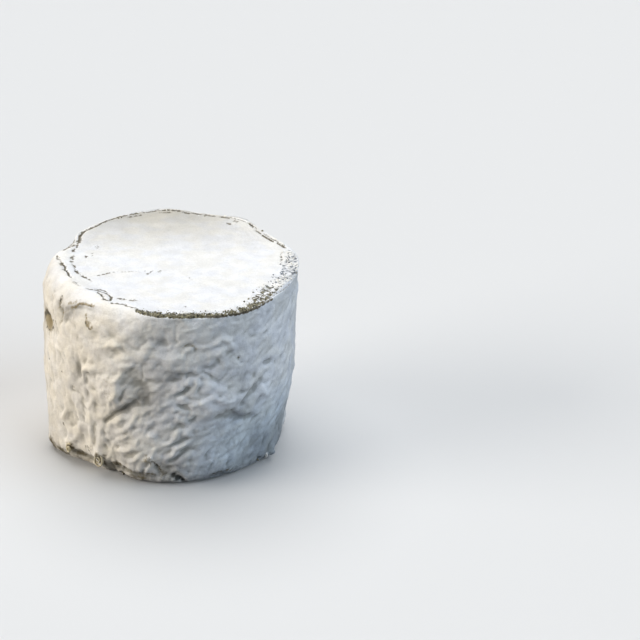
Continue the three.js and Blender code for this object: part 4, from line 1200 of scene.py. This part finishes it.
def rind_colour(tree, crust):
    """The rind's tint, varied by noise, with painted shade in hollows and a painted highlight on raised rind,
    and ochre, dirt and painted shade at the foot, crust, and cracks and painted shadow lines over it.
    """
    colour = shaded(tree, layer_value(tree, "tint", "Color"), MOTTLE, MOTTLE_SHADES)
    colour = mix(tree, 1, colour, varied(tree, HUES, WARM_CAST, COOL_CAST), "MULTIPLY")
    hollow = layer_value(tree, "hollow")
    # Painted shade in hollows and a painted highlight on raised rind
    colour = mix(tree, spread(tree, hollow, 0, HOLLOW_FULL), colour, PAINTED_HOLLOW_SHADE, "MULTIPLY")
    colour = mix(tree, spread(tree, hollow, 0, -HOLLOW_FULL), colour, PAINTED_CREST_HIGHLIGHT, "MULTIPLY")
    colour = shaded(tree, colour, FUZZ, FUZZ_SHADES)
    ochre = calculate(tree, "MULTIPLY", broken(tree, "ochre", *OCHRE_BREAK), OCHRE_STRENGTH)
    colour = mix(tree, ochre, colour, OCHRE)
    greyer = layer_value(tree, "greyer")
    # Dirt, and painted shade along the foot and round the curls
    colour = mix(tree, broken(tree, "dirt_and_shade", *DIRT_AND_SHADE_BREAK), colour, mix(tree, greyer, DIRT_AND_SHADE, GREY_DIRT_AND_SHADE))
    dark, light = mix(tree, greyer, CRUST_DARK, GREY_DARK), mix(tree, greyer, CRUST_LIGHT, GREY_LIGHT)
    colour = mix(tree, crust, colour, varied(tree, CRUMB_HUES, dark, light))
    # Cracks and painted shadow lines
    crack_and_shadow_line = varied(tree, CRACK_AND_SHADOW_LINE_HUES, CRACK_AND_SHADOW_LINE, CRACK_AND_SHADOW_LINE_LIGHT)
    return mix(tree, broken(tree, "crack_and_shadow_line", *CRACK_AND_SHADOW_LINE_BREAK), colour, crack_and_shadow_line)


def rind_bump(tree):
    """Fine grain and ridges of the mould."""
    ridged = calculate(tree, "ABSOLUTE", calculate(tree, "SUBTRACT", speckle(tree, *RIDGE_NOISE), 0.5))
    height = weighted_sum(
        tree, (speckle(tree, *BUMP_NOISE), BUMP_SHARE), (spread(tree, ridged, 0, RIDGE_WIDTH), RIDGE_SHARE))
    values = {"Height": height, "Strength": BUMP_STRENGTH, "Distance": BUMP_MM * MM}
    return add_node(tree, "ShaderNodeBump", values).outputs[0]


def rind_material():
    """A chalky white mould rind, with the layers' colours, crust and marks."""
    material = bpy.data.materials.new("mould_rind")
    material.use_nodes = True
    tree = material.node_tree
    shader = tree.nodes["Principled BSDF"]
    crust = crust_specks(tree)
    tree.links.new(rind_colour(tree, crust), shader.inputs["Base Color"])
    tree.links.new(spread(tree, crust, 0, 1, RIND_ROUGHNESS, CRUST_ROUGHNESS), shader.inputs["Roughness"])
    tree.links.new(rind_bump(tree), shader.inputs["Normal"])
    shader.inputs["Specular IOR Level"].default_value = SPECULAR
    shader.inputs["Sheen Weight"].default_value = SHEEN
    shader.inputs["Sheen Roughness"].default_value = SHEEN_ROUGHNESS
    return material


# ---- Camera and studio ----
def make_camera():
    """The photograph's view: the camera looks at the wheel, then turns until it falls on its pixel."""
    data = bpy.data.cameras.new("camera")
    data.sensor_width = SENSOR_WIDTH
    data.lens = FOCAL_PIXELS / PICTURE * SENSOR_WIDTH
    data.clip_start = CLIP_START
    camera = bpy.data.objects.new("camera", data)
    bpy.context.collection.objects.link(camera)
    up = math.radians(ELEVATION)
    distance = FOCAL_PIXELS / PIXELS_PER_MM * MM
    camera.location = Vector((0, 0, AIM_HEIGHT * MM)) + distance * Vector((0, -math.cos(up), math.sin(up)))
    right = (WHEEL_PIXEL[0] - PICTURE / 2) / FOCAL_PIXELS
    above = (PICTURE / 2 - WHEEL_PIXEL[1]) / FOCAL_PIXELS
    level = Euler((math.pi / 2 - up, 0, 0)).to_matrix()
    yaw = math.atan(right)
    pitch = math.atan(above * math.cos(yaw))
    turn = Matrix.Rotation(yaw, 3, "Y") @ Matrix.Rotation(-pitch, 3, "X")
    camera.rotation_euler = (level @ turn).to_euler()
    bpy.context.scene.camera = camera


def make_sun(name, azimuth, elevation, width, power, colour):
    """A wide soft light from far away, so that the floor is lit evenly; width is in degrees."""
    data = bpy.data.lights.new(name, "SUN")
    data.angle = math.radians(width)
    data.energy = power
    data.color = colour
    light = bpy.data.objects.new(name, data)
    light.rotation_euler = (-direction(azimuth, elevation)).to_track_quat("-Z", "Y").to_euler()
    bpy.context.collection.objects.link(light)


def direction(azimuth, elevation):
    a, e = math.radians(azimuth), math.radians(elevation)
    return Vector((math.cos(a) * math.cos(e), math.sin(a) * math.cos(e), math.sin(e)))


def stage_shader(tree, output, kind, socket, for_light, for_camera):
    """Ends a shader tree with one value for the light it gives and another for how it is seen."""
    tree.nodes.clear()
    lighting, seen = (add_node(tree, kind, {socket: value}).outputs[0] for value in (for_light, for_camera))
    by_camera = add_node(tree, "ShaderNodeLightPath").outputs["Is Camera Ray"]
    chosen = add_node(tree, "ShaderNodeMixShader", {0: by_camera, 1: lighting, 2: seen}).outputs[0]
    add_node(tree, output, {"Surface": chosen})


def make_sky():
    world = bpy.data.worlds.new("studio")
    world.use_nodes = True
    stage_shader(
        world.node_tree, "ShaderNodeOutputWorld", "ShaderNodeBackground", "Strength", SKY_GLOW, BACKDROP)
    bpy.context.scene.world = world


def make_floor():
    mesh = bpy.data.meshes.new("floor")
    corners = [(x * FLOOR_SIZE, y * FLOOR_SIZE, 0) for x, y in ((-1, -1), (1, -1), (1, 1), (-1, 1))]
    mesh.from_pydata(corners, [], [(0, 1, 2, 3)])
    floor = bpy.data.objects.new("floor", mesh)
    bpy.context.collection.objects.link(floor)
    paper = bpy.data.materials.new("floor_paper")
    paper.use_nodes = True
    bounce, seen = ((tone, tone, tone, 1) for tone in (FLOOR_BOUNCE, FLOOR_SEEN))
    stage_shader(
        paper.node_tree, "ShaderNodeOutputMaterial", "ShaderNodeBsdfDiffuse", "Color", bounce, seen)
    mesh.materials.append(paper)


def make_studio():
    """A pale floor and sky, and soft light from above, from the left and from the right."""
    make_floor()
    make_sky()
    for name, light in LIGHTS.items():
        make_sun(name, *light)
    bpy.context.scene.view_settings.view_transform = "Standard"


make_camera()
make_studio()
wheel = Wheel()
rind = rind_material()
make_wheel(wheel, rind)
make_curls(wheel, rind)
make_crumbs(wheel, rind)
